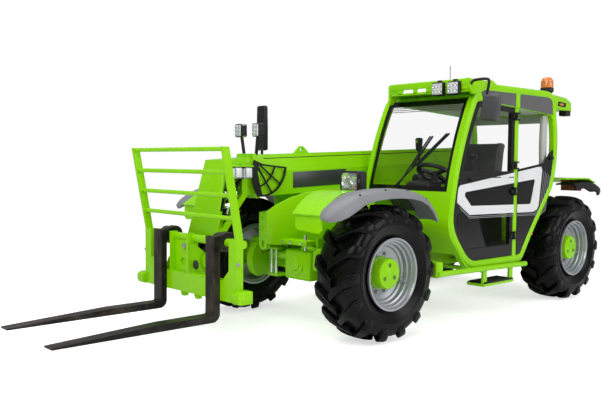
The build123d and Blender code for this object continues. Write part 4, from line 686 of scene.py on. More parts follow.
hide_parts("lamp_housings")
covers = joined("lamp_covers", lens_parts)
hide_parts("lamp_lenses")
print("lamp faces:", len(housings.data.polygons), len(covers.data.polygons))

# %% [markdown]
# The roof has a moulded cap, and ahead of it a visor: a front bar on ribs with open slots between them,
# held by an end plate on each front pillar. The cap is pulled across the cab, and its rings sink at
# both sides so that it looks domed. The visor is plates, so its slots stay truly open.

# %% Roof and visor
cap_side = [
    (-0.60, 2.004), (-0.60, 2.02), (-0.66, 2.034), (-0.9, 2.05), (-1.3, 2.078), (-1.75, 2.092), (-1.9, 2.092),
    (-2.24, 2.07), (-2.315, 2.04), (-2.325, 1.95), (-2.24, 1.925), (-1.95, 1.935), (-1.3, 1.968),
]
cap_rings = []
for y, sink, tuck in (
    (-0.05, 0.05, 0.05), (-0.03, 0.02, 0.015), (0.1, 0.004, 0), (0.46, -0.006, 0), (0.82, 0.004, 0),
    (0.92, 0.012, 0.005), (0.947, 0.03, 0.02),
):
    section = []
    for x, z in cap_side:
        under = 2.005 + (x + 0.585) * 0.0507
        rise = max(z - under - sink, 0.004) if z > under + 0.03 else z - under
        section.append(Vector((x - tuck if x > -1.4 else x + tuck, y, under + rise)))
    cap_rings.append(section)
cap = done(pulled("roof_cap", cap_rings), green, smooth=50, bevel=0.006)
roof = [cap]
bar = [(-0.446, 2.048), (-0.445, 2.1), (-0.455, 2.108), (-0.49, 2.104), (-0.478, 2.092), (-0.462, 2.048)]
flange = [(-0.45, 1.998), (-0.45, 2.018), (-0.466, 2.018), (-0.61, 2.014), (-0.61, 2.0)]
roof.append(plate("visor_bar", bar, 0.11, 0.955, green, bevel=0.003))
roof.append(plate("visor_flange", flange, 0.1, 0.955, green, bevel=0.003))
for low_y, high_y in ((0.1, 0.13), (0.195, 0.25), (0.375, 0.42), (0.52, 0.955)):
    post = oblong(low_y, 2.006, high_y, 2.06)
    roof.append(plate("visor_post", post, -0.465, -0.45, green, "X", 0.003))
far_end = [(-0.443, 2.1), (-0.445, 1.93), (-0.475, 1.918), (-0.55, 1.97), (-0.63, 2.04), (-0.66, 2.095)]
near_end = [(-0.443, 2.108), (-0.455, 2.03), (-0.52, 1.975), (-0.6, 1.99), (-0.7, 2.06), (-0.74, 2.1)]
roof.append(plate("visor_end_far", far_end, 0.09, 0.115, green, bevel=0.004))
roof.append(plate("visor_end_near", near_end, 0.945, 0.975, green, bevel=0.004))
fin = [(-0.7, 2.05), (-0.76, 2.1), (-0.818, 2.118), (-0.94, 2.06)]
roof.append(plate("visor_fin", fin, 0.9, 0.968, green, bevel=0.003))
roof = joined("cab_roof_moulded", roof)
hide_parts("cab_roof")
# Round the rear marker, a thin black plate is painted shade in the roof's rear recess.
recess = [(-2.02, 1.965), (-2.17, 1.958), (-2.19, 2.0), (-2.03, 2.01)]
plate("roof_rear_recess_painted_shade", recess, 0.945, 0.952, plastic, bevel=0.002)
block("roof_rear_marker", (-2.12, 0.948, 1.972), (-2.05, 0.958, 1.992), amber, 0.003)
block("roof_camera", (-2.29, 0.86, 1.875), (-2.2, 0.95, 1.935), plastic, 0.012)
antenna_foot = [(0, 0.001), (0.03, 0.006), (0.03, 0.014), (0.0, 0.02)]
spun("antenna_foot", antenna_foot, (-0.7, 0.6, 2.1), (0, 0, 1), 14, plastic)
pipe("antenna", [(-0.7, 0.6, 2.12), (-0.7, 0.6, 2.262)], 0.003, plastic, bend=False)
print("roof faces:", len(roof.data.polygons))

# %% [markdown]
# The beacon is an amber dome on a black rubber foot. Both are turned about an upright axis, because a
# profile shows the dome's soft shoulder best. Three thin turned ribs catch the light as in a real lens.

# %% Beacon
beacon_low, beacon_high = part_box("beacon")
beacon_at = ((beacon_low.x + beacon_high.x) / 2 - 0.1, (beacon_low.y + beacon_high.y) / 2, 2.06)
beacon_height, upright = 0.203, (0, 0, 1)
foot_profile = [
    (0, 0.001), (0, 0.03), (0.035, 0.03), (0.045, 0.05), (0.06, 0.066), (0.09, 0.066), (0.098, 0.055),
    (0.098, 0.001),
]
dome_profile = [
    (0.096, 0.001), (0.096, 0.06), (0.11, 0.062), (0.165, 0.057), (0.188, 0.049), (0.2, 0.03),
    (beacon_height, 0.001),
]
spun("beacon_foot", foot_profile, beacon_at, upright, 28, plastic)
dome = spun("beacon_dome", dome_profile, beacon_at, upright, 28, amber)
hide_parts("beacon")
for z in (0.118, 0.136, 0.154):
    rib = [(z, 0.056), (z, 0.0635), (z + 0.007, 0.0625), (z + 0.007, 0.055)]
    spun("beacon_rib", rib, beacon_at, upright, 28, amber)
print("beacon top:", round(beacon_at[2] + beacon_height, 3))

# %% [markdown]
# Both mirrors are rounded plastic shells with a bright face at the back, on bent tubes. The left shell
# leans, so it is a plate with four free corners. The right one is upright and can be a tapered block.

# %% Mirrors
left_shell = [(1.105, 1.745), (1.275, 1.725), (1.3, 1.945), (1.14, 1.957)]
left_arm = [
    (-0.52, 0.94, 2.04), (-0.48, 0.98, 2.07), (-0.43, 1.04, 2.083), (-0.43, 1.17, 2.085),
    (-0.43, 1.19, 2.06), (-0.425, 1.165, 1.95), (-0.425, 1.145, 1.85), (-0.43, 1.15, 1.84),
]
right_arm = [
    (-0.26, -0.96, 1.09), (-0.15, -1.0, 1.09), (-0.02, -1.12, 1.1), (0.005, -1.205, 1.14),
    (0.008, -1.205, 1.3), (0.008, -1.205, 1.55),
]
shells = [
    plate("mirror_head_left", left_shell, -0.465, -0.4, shell_grey, "X", 0.024, 60),
    block("mirror_head_right", (-0.02, -1.28, 1.497), (0.035, -1.13, 1.955), plastic, 0.022, 4, (0.9, 0.9)),
    pipe("mirror_arm_left", left_arm, 0.012, plastic),
    pipe("mirror_arm_right", right_arm, 0.014, plastic),
]
mirrors = joined("mirrors_rounded", shells)
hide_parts("mirrors")
for name, low, high in (
    ("mirror_face_left", (-0.469, 1.145, 1.766), (-0.461, 1.262, 1.92)),
    ("mirror_face_right", (-0.024, -1.264, 1.52), (-0.016, -1.148, 1.93)),
):
    block(name, low, high, chrome, 0.003)
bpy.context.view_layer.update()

# %% [markdown]
# Each side of the cab is one bent tube. The CAD ring is flat, so a half-round moulding is pulled once
# round its left face along the same arcs. Corners are rounded by a short curve between their two sides.

# %% Cab ring moulding


def bow(a, b, c, inset, steps):
    """Points on the arc through three (x, z) points, drawn in towards its centre."""
    (ax, az), (bx, bz), (cx, cz) = a, b, c
    d = 2 * (ax * (bz - cz) + bx * (cz - az) + cx * (az - bz))
    sa, sb, sc = ax**2 + az**2, bx**2 + bz**2, cx**2 + cz**2
    ux = (sa * (bz - cz) + sb * (cz - az) + sc * (az - bz)) / d
    uz = (sa * (cx - bx) + sb * (ax - cx) + sc * (bx - ax)) / d
    reach = math.hypot(ax - ux, az - uz) - inset
    start, end = math.atan2(az - uz, ax - ux), math.atan2(cz - uz, cx - ux)
    if abs(end - start) > math.pi:
        end += 2 * math.pi if end < start else -2 * math.pi
    turns = [start + (end - start) * k / steps for k in range(steps + 1)]
    return [(ux + reach * math.cos(t), uz + reach * math.sin(t)) for t in turns]


def eased(corner, before, after, reach, steps=5):
    """A corner of a path replaced by a short curve."""
    p, q, r = Vector(corner), Vector(before), Vector(after)
    first = p + (q - p).normalized() * min(reach, (q - p).length / 2)
    last = p + (r - p).normalized() * min(reach, (r - p).length / 2)
    out = []
    for k in range(steps + 1):
        t = k / steps
        out.append(tuple(first * (1 - t) ** 2 + p * 2 * t * (1 - t) + last * t**2))
    return out


front_bow = bow((-0.215, 0.81), (-0.327, 1.39), (-0.585, 2.005), 0.035, 14)
rear_bow = bow((-1.965, 1.935), (-2.025, 1.54), (-1.945, 1.15), 0.035, 8)
ring_path = list(front_bow[2:-1])
ring_path += eased((-0.655, 2.052), front_bow[-2], (-1.85, 2.062), 0.09)
ring_path += eased((-1.93, 2.062), (-0.7, 2.055), rear_bow[1], 0.13)
ring_path += rear_bow[1:-1]
low_path = [
    rear_bow[-2], (-1.908, 1.16), (-1.512, 0.684), (-1.378, 0.495), (-0.535, 0.495), (-0.252, 0.825), front_bow[3],
]
for k, reach in enumerate((0.1, 0.1, 0.08, 0.14, 0.16), start=1):
    ring_path += eased(low_path[k], low_path[k - 1], low_path[k + 1], reach)
d_section = [
    (-0.034, 0.945), (-0.031, 0.953), (-0.02, 0.9605), (0, 0.9635), (0.02, 0.9605), (0.031, 0.953),
    (0.034, 0.945),
]
ring_stations = []
for k in range(len(ring_path) + 1):
    here = ring_path[k % len(ring_path)]
    ahead_ = Vector(ring_path[(k + 1) % len(ring_path)]) - Vector(ring_path[k - 1])
    across = Vector((-ahead_.y, ahead_.x)).normalized()
    ring_stations.append([Vector((here[0] + across.x * a, y, here[1] + across.y * a)) for a, y in d_section])
done(pulled("cab_ring_moulding", ring_stations), green, smooth=60)
# The window tops are painted shade: a dark glossy grey sheet where the shaded top of the cab shows behind the glass.
window_top_painted_shade = finish("window_top_painted_shade", (0.09, 0.092, 0.09), 0.15, vary=0.1, bump=0.0, coat=0.8)
front_top = [(-0.71, 1.936), (-0.665, 2.025), (-1.232, 2.03), (-1.232, 1.91)]
rear_top = [(-1.298, 1.902), (-1.298, 2.032), (-1.85, 2.035), (-1.9, 2.0), (-1.915, 1.871)]
pillar_top = [(-1.232, 1.9), (-1.232, 2.04), (-1.298, 2.04), (-1.298, 1.9)]
cab_face = 0.9485
plate("window_top_front", front_top, cab_face, 0.956, window_top_painted_shade)
plate("window_top_rear", rear_top, cab_face, 0.956, window_top_painted_shade)
plate("pillar_top", pillar_top, cab_face, 0.961, green, bevel=0.004)
print("moulding stations:", len(ring_stations))

# %% [markdown]
# The door's flank is dark glass with a white styling band round it and thin grey lines outside. The band
# runs over both door leaves and the fixed quarter, so each strip is clipped where its leaf ends.

# %% Door flank and styling band
dark_glass = finish("dark_glass", (0.003, 0.003, 0.0032), 0.16, vary=0.1, bump=0.0, shine=0.3)
line_grey = finish("line_grey", (0.3, 0.31, 0.32), 0.4, vary=0.05, bump=0.02)


def clipped(points, axis, limit, keep):
    """The share of an outline on one side of a line."""
    out = []
    for k, here in enumerate(points):
        back = points[k - 1]
        inside, was = keep * (here[axis] - limit) >= 0, keep * (back[axis] - limit) >= 0
        if inside != was:
            t = (limit - back[axis]) / (here[axis] - back[axis])
            out.append(tuple(b + t * (h - b) for b, h in zip(back, here)))
        if inside:
            out.append(here)
    return out


zones = {
    "door_lower": [(0, -1.238, 1), (1, 1.2555, -1)],
    "door_upper": [(0, -1.238, 1), (1, 1.2645, 1)],
    "chassis": [(0, -1.298, -1)],
}
depth = {"door_lower": (0.951, 0.956), "door_upper": (cab_face, 0.956), "chassis": (0.953, 0.957)}


def banded(name, quads, material):
    """Strips of a band, clipped to the leaves and the quarter that carry them."""
    for body, limits in zones.items():
        made = []
        for quad in quads:
            for axis, limit, keep in limits:
                quad = clipped(quad, axis, limit, keep) if len(quad) > 2 else quad
            if len(quad) > 2:
                made.append(plate(name, quad, *depth[body], material, body=body))
        if made:
            joined(f"{name}_{body}", made)


quarter_panel = [
    (-1.298, 1.333), (-1.7, 1.386), (-1.78, 1.402), (-1.86, 1.49), (-1.945, 1.53), (-1.935, 1.4),
    (-1.905, 1.25), (-1.87, 1.165), (-1.483, 0.7), (-1.362, 0.535), (-1.298, 0.535),
]
door_panel = [(-0.45, 1.145), (-1.238, 1.215), (-1.238, 1.0), (-0.545, 1.01)]
corner_panel = [(-0.405, 1.318), (-0.585, 1.318), (-0.5, 1.56), (-0.455, 1.6), (-0.42, 1.42)]
front_panel = [(-0.357, 0.956), (-0.645, 0.956), (-0.795, 0.644), (-0.52, 0.644), (-0.365, 0.825)]
for name, outline, start, end, body in (
    ("quarter_panel", quarter_panel, 0.948, 0.9535, "chassis"),
    ("door_panel", door_panel, cab_face, 0.9515, "door_lower"),
    ("door_corner_panel", corner_panel, 0.9405, 0.949, "door_upper"),
    ("door_front_panel", front_panel, 0.9405, 0.949, "door_lower"),
):
    plate(name, outline, start, end, dark_glass, body=body)
outer_band = [
    (-0.385, 1.196), (-1.66, 1.357), (-1.715, 1.358), (-1.735, 1.325), (-1.682, 0.985), (-1.655, 0.948),
    (-1.575, 0.926), (-0.53, 0.939), (-0.345, 1.05), (-0.345, 1.085), (-0.36, 1.17),
]
inner_band = [
    (-0.465, 1.138), (-1.572, 1.238), (-1.595, 1.237), (-1.603, 1.225), (-1.54, 1.025), (-1.53, 1.008),
    (-1.51, 1.003), (-0.55, 1.016), (-0.46, 1.095), (-0.452, 1.105), (-0.452, 1.125),
]
count = len(outer_band)
strips = []
for k in range(count):
    after = (k + 1) % count
    strips.append([outer_band[k], outer_band[after], inner_band[after], inner_band[k]])
banded("styling_band", strips, white_paint)
half_line = 0.0022
for k in range(1, 6):
    run = [
        (-0.36 - 0.02 * k, 1.03 - 0.02 * k), (-0.53, 0.937 - 0.013 * k),
        (-1.585 - 0.012 * k, 0.922 - 0.013 * k), (-1.685 - 0.026 * k, 0.955 - 0.004 * k),
        (-1.74 - 0.03 * k, 1.33 - 0.012 * k),
    ]
    first = 2 if k > 2 else 0
    quads = []
    for a, b in zip(run[first:], run[first + 1:]):
        dx, dz = (0, half_line) if abs(b[0] - a[0]) > 0.1 else (half_line, 0)
        quads.append([(a[0] - dx, a[1] - dz), (a[0] + dx, a[1] + dz), (b[0] + dx, b[1] + dz), (b[0] - dx, b[1] - dz)])
    banded(f"flank_line_{k}", quads, line_grey)
block("flank_marker", (-1.575, 0.95, 0.705), (-1.52, 0.962, 0.732), amber, 0.004)
knob = [(0, 0.001), (0, 0.024), (0.008, 0.024), (0.012, 0.016), (0.024, 0.018), (0.03, 0.012), (0.03, 0.001)]
for name, place, body in (
    ("latch_upper", (-0.585, 0.948, 1.44), "door_upper"), ("latch_lower", (-0.545, 0.948, 1.24), "door_lower"),
    ("latch_quarter", (-1.9, 0.952, 1.446), "chassis"),
):
    spun(name, knob, place, (0, 1, 0), 18, plastic, body=body)
print("band strips:", count)

# %% [markdown]
# The windscreen has a black printed border, a tinted band at the top and two wiper arms. Its front line
# is known from the frame, so the border is pulled along that line a few millimetres outside.

# %% Windscreen border and wipers
screen_gap = 0.006
screen_line = [
    (-0.277, 1.142), (-0.302, 1.24), (-0.335, 1.345), (-0.35, 1.39), (-0.38, 1.49), (-0.41, 1.59),
    (-0.445, 1.68), (-0.487, 1.78), (-0.53, 1.87), (-0.556, 1.92), (-0.572, 1.95),
]


def screen_x(z):
    """The windscreen's outer x at a height, a little outside."""
    for (xa, za), (xb, zb) in zip(screen_line, screen_line[1:]):
        if z <= zb:
            return xa + (xb - xa) * (z - za) / (zb - za) + screen_gap
    return screen_line[-1][0] + screen_gap


def screen_strip(name, low_y, high_y, low_z, high_z, material, steps):
    """A strip on the curved windscreen."""
    stations = []
    for k in range(steps + 1):
        z = low_z + (high_z - low_z) * k / steps
        x = screen_x(z)
        stations.append([
            Vector((x, low_y, z)), Vector((x, high_y, z)), Vector((x - 0.004, high_y, z)),
            Vector((x - 0.004, low_y, z)),
        ])
    return done(pulled(name, stations), material)


strips = [
    (0.862, 0.9, 1.142, 1.95, 14), (0.02, 0.055, 1.142, 1.95, 14), (0.055, 0.862, 1.142, 1.185, 2),
    (0.055, 0.862, 1.9, 1.95, 2),
]
strips += [(0.055, 0.862, 1.886 - 0.018 * k, 1.892 - 0.018 * k, 2) for k in range(3)]
border = [screen_strip("screen_border", *limits, dark_glass, steps) for *limits, steps in strips]
joined("screen_border", border)
for name, start, end in (
    ("wiper_left", (0.33, 1.165), (0.79, 1.64)), ("wiper_right", (0.36, 1.16), (0.62, 1.62)),
):
    spots = []
    for k in range(6):
        y, z = (a + (b - a) * k / 5 for a, b in zip(start, end))
        spots.append((screen_x(z) + 0.016, y, z))
    arm = pipe(name, spots, 0.007, plastic)
    blade = pipe(name, [(x - 0.008, y + 0.02, z) for x, y, z in spots[2:]], 0.009, plastic)
    joined(name, [arm, blade])
print("windscreen pieces:", len(border))

# %% [markdown]
# Inside the cab: a grey headliner, light pillar trim, a console with the control lever on the right, and
# the dash hood in front of the steering wheel. They are seen through glass, so rounded blocks and plates
# are enough, and the light trim matters most: it is what shows the glass as clear.

# %% Cab inside
liner = finish("liner_grey", (0.5, 0.5, 0.48), 0.8, vary=0.08, bump=0.2, grain=500)
ceiling = [(-0.66, 1.93), (-1.9, 1.868), (-1.9, 1.882), (-0.66, 1.944)]
trim = [(-1.875, 1.86), (-1.79, 1.86), (-1.775, 1.6), (-1.79, 1.3), (-1.87, 1.28)]
for name, outline, start, end, edge in (
    ("headliner", ceiling, 0.03, 0.89, 0.004), ("pillar_trim", trim, 0.885, 0.925, 0.01),
    ("pillar_trim_far", trim, 0.03, 0.06, 0.01),
):
    plate(name, outline, start, end, liner, bevel=edge)
block("lever_console", (-1.2, 0.07, 0.66), (-0.78, 0.2, 1.28), plastic, 0.03, 4, (0.8, 0.9))
pipe("lever_stem", [(-0.9, 0.12, 1.26), (-0.89, 0.115, 1.4), (-0.89, 0.11, 1.52)], 0.011, plastic)
block("lever_grip", (-0.92, 0.085, 1.5), (-0.86, 0.135, 1.63), plastic, 0.02, 4, (1.2, 1.2))
block("lever_switch", (-0.87, 0.1, 1.58), (-0.855, 0.122, 1.61), green, 0.004)
block("dash_hood", (-0.62, 0.3, 1.12), (-0.4, 0.62, 1.22), plastic, 0.04, 4, (0.7, 0.85))
block("rear_header", (-1.93, 0.03, 1.79), (-1.905, 0.9, 1.9), liner, 0.008)
print("inside pieces made")

# %% [markdown]
# On the boom: a plain dark panel on its left face, thin pipes along its top edge, and bright faces in
# the work lamps. The two lamps under the head are silver and look forward. The head's pipes are curves,
# because a curve with a round bevel keeps its thickness through every bend.

# %% Boom details
boom_fall = 0.0426  # the boom's slope at rest
nose_x, nose_z = 0.97, 1.085
panel_grey = finish("panel_grey", (0.035, 0.037, 0.042), 0.35, vary=0.1, bump=0.02)
panel = [(0.594, 1.158), (-0.06, 1.186), (-0.06, 1.323), (0.594, 1.295)]
plate("boom_panel", panel, -0.081, -0.0765, panel_grey, bevel=0.001, body="boom")
boom_pipes = ((-0.118, 0.318, 0.008, steel), (-0.14, 0.328, 0.006, chrome), (-0.165, 0.33, 0.008, steel))
for k, (y, up_, radius, material) in enumerate(boom_pipes):
    ends = [(x, y, nose_z + up_ + (nose_x - x) * boom_fall) for x in (0.9, -1.9)]
    pipe(f"boom_pipe_{k}", ends, radius, material, bend=False, body="boom")
boom_bowl = [(0.001, 0.001), (0.006, 0.009), (0.007, 0.0145), (-0.001, 0.0145), (-0.001, 0.001)]
for y in (-0.33, -0.1):
    face = oblong(y - 0.036, 1.594, y + 0.036, 1.688)
    plate("boom_lamp_mirror", face, 0.997, 1.002, white_paint, "X", 0.001, body="boom")
    lamp_cells("boom_lamp_cell", (1.002, y, 1.641), (-0.018, 0.018), (-0.03, 0, 0.03), boom_bowl, "boom")
block("boom_lamp_shell", (0.93, -0.372, 1.585), (0.99, -0.288, 1.7), silver, 0.012, body="boom")
low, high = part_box("head_lamps")
bracket = oblong(low.x, low.y, high.x, high.y)
head = [plate("head_lamp_bracket", bracket, high.z - 0.012, high.z, green, "Z", 0.003, body="telescope")]
for x in (1.195, 1.295):
    corners = (x - 0.04, -0.006, 1.245), (x + 0.036, 0.066, 1.337)
    head.append(block("head_lamp", *corners, silver, 0.012, body="telescope"))
    front = oblong(0.002, 1.256, 0.058, 1.326)
    flank = oblong(x - 0.03, 1.256, x + 0.026, 1.326)
    plate("head_lamp_face", front, x + 0.035, x + 0.04, white_paint, "X", 0.002, body="telescope")
    plate("head_lamp_side", flank, 0.065, 0.069, white_paint, "Y", 0.002, body="telescope")
head = joined("head_lamps_silver", head[1:] + head[:1])
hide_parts("head_lamps")
coupling = [(0, 0.001), (0, 0.018), (0.02, 0.02), (0.05, 0.02), (0.055, 0.014), (0.055, 0.001)]
for k, y in enumerate((-0.035, -0.065, -0.095)):
    bends = [
        (1.13, y, 1.3 - 0.03 * k), (1.2, y + 0.01, 1.26 - 0.03 * k), (1.26 + 0.03 * k, y + 0.01, 1.15),
        (1.3 + 0.02 * k, y, 1.02), (1.36, y, 0.96),
    ]
    pipe(f"head_line_{k}", bends, 0.012, flap_rubber, body="telescope")
    place = (1.26 + 0.03 * k, y + 0.012, 1.14)
    spun(f"head_coupling_{k}", coupling, place, (0.25, 0, -1), 14, chrome, body="telescope")
side_coupling = [
    (0, 0.001), (0, 0.015), (0.018, 0.015), (0.02, 0.021), (0.05, 0.021), (0.054, 0.013), (0.07, 0.012),
    (0.07, 0.001),
]
for x, z in ((1.33, 1.16), (1.35, 1.09), (1.365, 1.02), (1.3, 1.1)):
    spun("side_coupling", side_coupling, (x, -0.02, z), (0.2, 1, 0.35), 14, chrome, body="telescope")
side_line = [(1.31, 0.02, 1.2), (1.34, 0.035, 1.15), (1.36, 0.035, 1.05), (1.38, 0.025, 0.97)]
pipe("side_line", side_line, 0.01, chrome, body="telescope")
print("boom details made")

# %% [markdown]
# The fork carriage carries bolts, teeth, a gusset and a capped beam; the forks hang from a tube by round
# eyes. A straight line cast from ahead finds the plate's face, so a bolt sits on it and not in the air.

# %% Carriage details


def face_x(node, y, z):
    """The front of a CAD node, met by a straight line from ahead."""
    met, place, _, _ = nodes[node].ray_cast((6, y, z), (-1, 0, 0))
    return place.x if met else None


for y in (-0.12, -0.015):
    x = face_x("fork_carriage", y, 0.73)
    if x:
        stud("carriage_bolt", (x, y, 0.73), (1, 0, 0), 0.022, 0.02, body="carriage")
        print("carriage bolt at x:", round(x, 3))
tooth = [(1.64, 0.39), (1.7, 0.39), (1.69, 0.345), (1.65, 0.345)]
for y in (-0.12, 0.06):
    plate("carriage_tooth", tooth, y - 0.02, y + 0.02, green, bevel=0.004, body="carriage")
for y, half in ((0.331, 0.056), (-0.387, 0.036)):
    eye_profile = [
        (-half, 0.02), (-half, 0.06), (0.006 - half, 0.066), (half - 0.006, 0.066), (half, 0.06), (half, 0.02),
    ]
    spun("fork_eye", eye_profile, (1.6, y, 0.8), (0, 1, 0), 28, steel, body="carriage")
beam_end = [(1.62, 0.385), (1.73, 0.385), (1.745, 0.41), (1.745, 0.455), (1.72, 0.475), (1.62, 0.475)]
for side, y in ((1, 0.575), (-1, -0.635)):
    plate("beam_end", beam_end, y - side * 0.02, y + side * 0.075, green, bevel=0.006, body="carriage")
    stud("post_bolt", (1.7, y + side * 0.002, 0.66), (0, side, 0), 0.014, 0.012, body="carriage")
# The carriage hole is painted shade: a thin dark disc on the plate where the hole's hollow is in shade.
disc = [(0, 0.001), (0, 0.036), (0.004, 0.036), (0.004, 0.001)]
spun("carriage_hole_painted_shade", disc, (1.656, 0.008, 0.594), (1, 0, 0), 24, casting, body="carriage")
gusset = [
    (-0.42, 0.48), (-0.42, 0.56), (-0.39, 0.615), (-0.345, 0.655), (-0.29, 0.675), (-0.26, 0.675), (-0.26, 0.48),
]
plate("carriage_gusset", gusset, 1.632, 1.648, green, "X", bevel=0.004, body="carriage")
print("carriage details made")

# %% [markdown]
# Low at the front: the steering cylinder with its chrome rod, two long clamp bolts, the axle's case with
# its cover, and bolts on the nose. They are blocks and turned pieces in the shade under the machine. The
# nose's flank is pulled through six stations, because it leans and narrows at the same time.

# %% Axle and nose details
half_barrel = [(0.108, 0.04), (0.11, 0.046), (0.16, 0.046), (0.17, 0.042), (0.17, 0.001)]
barrel = [(-a, r) for a, r in reversed(half_barrel)] + half_barrel
spun("steer_barrel", barrel, (0.7, -0.05, 0.59), (0, 1, 0), 24, green)
pipe("steer_rod", [(0.7, -0.42, 0.59), (0.7, 0.42, 0.59)], 0.016, chrome, bend=False)
for y in (-0.175, -0.115):
    pipe("clamp_bolt", [(0.745, y, 0.41), (0.745, y, 0.65)], 0.011, chrome, bend=False)
block("clamp_foot", (0.64, -0.205, 0.405), (0.765, -0.085, 0.43), green, 0.006)
block("clamp_head", (0.64, -0.205, 0.632), (0.765, -0.085, 0.657), green, 0.006)
block("axle_case", (0.6, 0.0, 0.405), (0.755, 0.31, 0.655), green, 0.022)
cover = [(0, 0.001), (0, 0.085), (0.012, 0.08), (0.014, 0.045), (0.024, 0.04), (0.024, 0.001)]
spun("axle_cover", cover, (0.752, 0.15, 0.53), (1, 0, 0), 28, green)
cover_circle = 0.064
for k in range(6):
    turn = math.pi / 3 * k
    place = (0.764, 0.15 + cover_circle * math.cos(turn), 0.53 + cover_circle * math.sin(turn))
    stud("axle_cover_bolt", place, (1, 0, 0), 0.008, 0.008, material=green)
drum = [(0, 0.001), (0, 0.15), (0.03, 0.16), (0.06, 0.15), (0.06, 0.001)]
spun("axle_drum", drum, (0.7, -0.36, 0.53), (0.3, -1, 0), 30, green)
block("axle_link", (0.62, 0.32, 0.5), (0.74, 0.42, 0.68), green, 0.015)
pipe("axle_line", [(0.74, 0.2, 0.66), (0.78, 0.24, 0.7), (0.77, 0.33, 0.7), (0.72, 0.37, 0.66)], 0.009, green)
flank_rings = []
for x, y, low_z, top in (
    (0.93, -0.025, 0.7, 0.97), (0.86, 0.0, 0.69, 1.02), (0.74, 0.045, 0.685, 1.082), (0.6, 0.09, 0.68, 1.125),
    (0.4, 0.18, 0.67, 1.15), (0.15, 0.29, 0.66, 1.16),
):
    behind = x - 0.004, y - 0.016
    flank_rings.append([Vector(p) for p in ((x, y, low_z), (x, y, top), (*behind, top), (*behind, low_z))])
done(pulled("nose_flank", flank_rings), green, smooth=60, bevel=0.004)
for y, z in ((-0.1, 0.83), (0.1, 0.83), (-0.1, 0.93), (0.1, 0.93)):
    x = face_x("chassis_nose", y, z)
    if x:
        stud("nose_bolt", (x - 0.002, y, z), (1, 0, 0), 0.016, 0.014, material=green)
block("axle_bracket", (0.7, 0.0, 0.7), (0.81, 0.32, 0.745), green, 0.01)
for y in (0.04, 0.14, 0.27):
    stud("bracket_bolt", (0.809, y, 0.722), (1, 0, 0), 0.013, 0.012, material=chrome)
pipe("bracket_pin", [(0.77, 0.27, 0.66), (0.77, 0.27, 0.79)], 0.013, chrome, bend=False)
print("axle details made")

# %% [markdown]
# Rear flaps, step tread and the sill's front bracket. The flaps are black shells pulled like the flares,
# and the tread is a thin block with seven ribs, which give the foot its grip on the real step.

# %% Rear flaps and step
flap_stations = [
    (-2.3, 1.185, 0.8, 1.02), (-2.46, 1.2, 0.8, 1.026), (-2.62, 1.198, 0.8, 1.028), (-2.76, 1.18, 0.8, 1.026),
    (-2.86, 1.152, 0.81, 1.015), (-2.93, 1.12, 0.83, 0.99), (-2.955, 1.098, 0.86, 0.96),
]
flap_rings = []
for k, (x, top, inner, outer) in enumerate(flap_stations):
    lift = -outward(flap_stations, k)
    wide = outer - inner
    section = [
        (inner, 0.0), (inner + 0.5 * wide, 0.012), (outer - 0.025, 0.002), (outer, -0.02), (outer, -0.062),
        (outer - 0.01, -0.062), (outer - 0.03, -0.02), (inner + 0.5 * wide, -0.008), (inner, -0.016),
    ]
    flap_rings.append([Vector((x, y, top)) + lift * up_ for y, up_ in section])
flap = done(pulled("flap_left", flap_rings), flap_rubber, smooth=50)
flaps = joined("rear_flaps_moulded", [flap, copied(flap, "flap_right", mirror=True)])
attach(flaps, "chassis")
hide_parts("rear_flaps")
tread_parts = [block("step_tread", (-1.2, 0.815, 0.318), (-0.725, 0.992, 0.33), plastic, 0.003)]
for k in range(7):
    y = 0.83 + 0.025 * k
    tread_parts.append(block("step_rib", (-1.19, y - 0.004, 0.328), (-0.735, y + 0.004, 0.336), plastic, 0.002))
joined("step_tread", tread_parts)
block("sill_bracket", (-0.12, 0.86, 0.44), (-0.03, 0.99, 0.57), green, 0.012)
print("flap faces:", len(flaps.data.polygons))

# %% [markdown]
# The seat is foam under cloth, so its pads are swollen and not carved. Each pad is a rounded block that is
# remeshed finely and blown up a little by cloth pressure; how far a point may move is capped. Seams are
# pressed in last, along lines that sag in the middle.

# %% Seat
seat_middle, seat_half = 0.46, 0.2
seam_half, seam_depth = 0.014, 0.007
swell_frames = 20


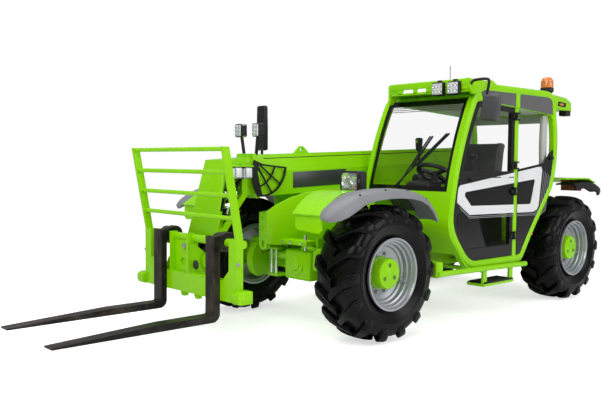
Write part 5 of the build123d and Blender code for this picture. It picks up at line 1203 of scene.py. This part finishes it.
def swollen(name, low, high, lean, cap, seams):
    """A pad: block, voxel remesh, cloth pressure, capped movement, seams and one subdivision."""
    piece = block(name, low, high, seat_cloth, 0.028, 3)
    bpy.ops.object.mode_set(mode="EDIT")
    bpy.ops.mesh.select_all(action="SELECT")
    bpy.ops.transform.rotate(value=lean, orient_axis="Y", center_override=(-1.375, seat_middle, 0.99))
    bpy.ops.object.mode_set(mode="OBJECT")
    fine = piece.modifiers.new("fine", "REMESH")
    fine.mode = "VOXEL"
    fine.voxel_size = 0.006
    bpy.ops.object.modifier_apply(modifier="fine")
    start = [vert.co.copy() for vert in piece.data.vertices]
    swell = piece.modifiers.new("swell", "CLOTH")
    swell.settings.use_pressure = True
    swell.settings.uniform_pressure_force = 4
    swell.settings.effector_weights.gravity = 0
    for number in range(1, swell_frames + 1):
        scene.frame_set(number)
    bpy.ops.object.modifier_apply(modifier="swell")
    scene.frame_set(1)
    for vert, was in zip(piece.data.vertices, start):
        step = vert.co - was
        vert.co = was + step * min(1, cap / max(step.length, 1e-6))
        for height, sag in seams:
            line = height + sag * ((vert.co.y - seat_middle) / seat_half) ** 2
            near = 1 - abs(vert.co.z - line) / seam_half
            if near > 0 and vert.normal.x > 0.3:
                vert.co -= vert.normal * seam_depth * near
    soft_edge = piece.modifiers.new("soft", "SUBSURF")
    soft_edge.levels = soft_edge.render_levels = 1
    bpy.ops.object.modifier_apply(modifier="soft")
    bpy.ops.object.shade_smooth()
    return piece


pad = swollen("seat_pad", (-1.4, 0.25, 0.935), (-0.97, 0.67, 1.015), 0.0, 0.014, ())
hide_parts("seat")
back = swollen(
    "seat_back", (-1.425, 0.22, 0.99), (-1.34, 0.7, 1.6), math.radians(8.3), 0.014,
    ((1.2, 0.03), (1.42, 0.05)),
)
block("seat_pan", (-1.42, 0.24, 0.885), (-0.98, 0.68, 0.94), plastic, 0.015)
print(
    "seat points:", len(pad.data.vertices), len(back.data.vertices), "back top x:",
    round(min(v.co.x for v in back.data.vertices), 3),
)
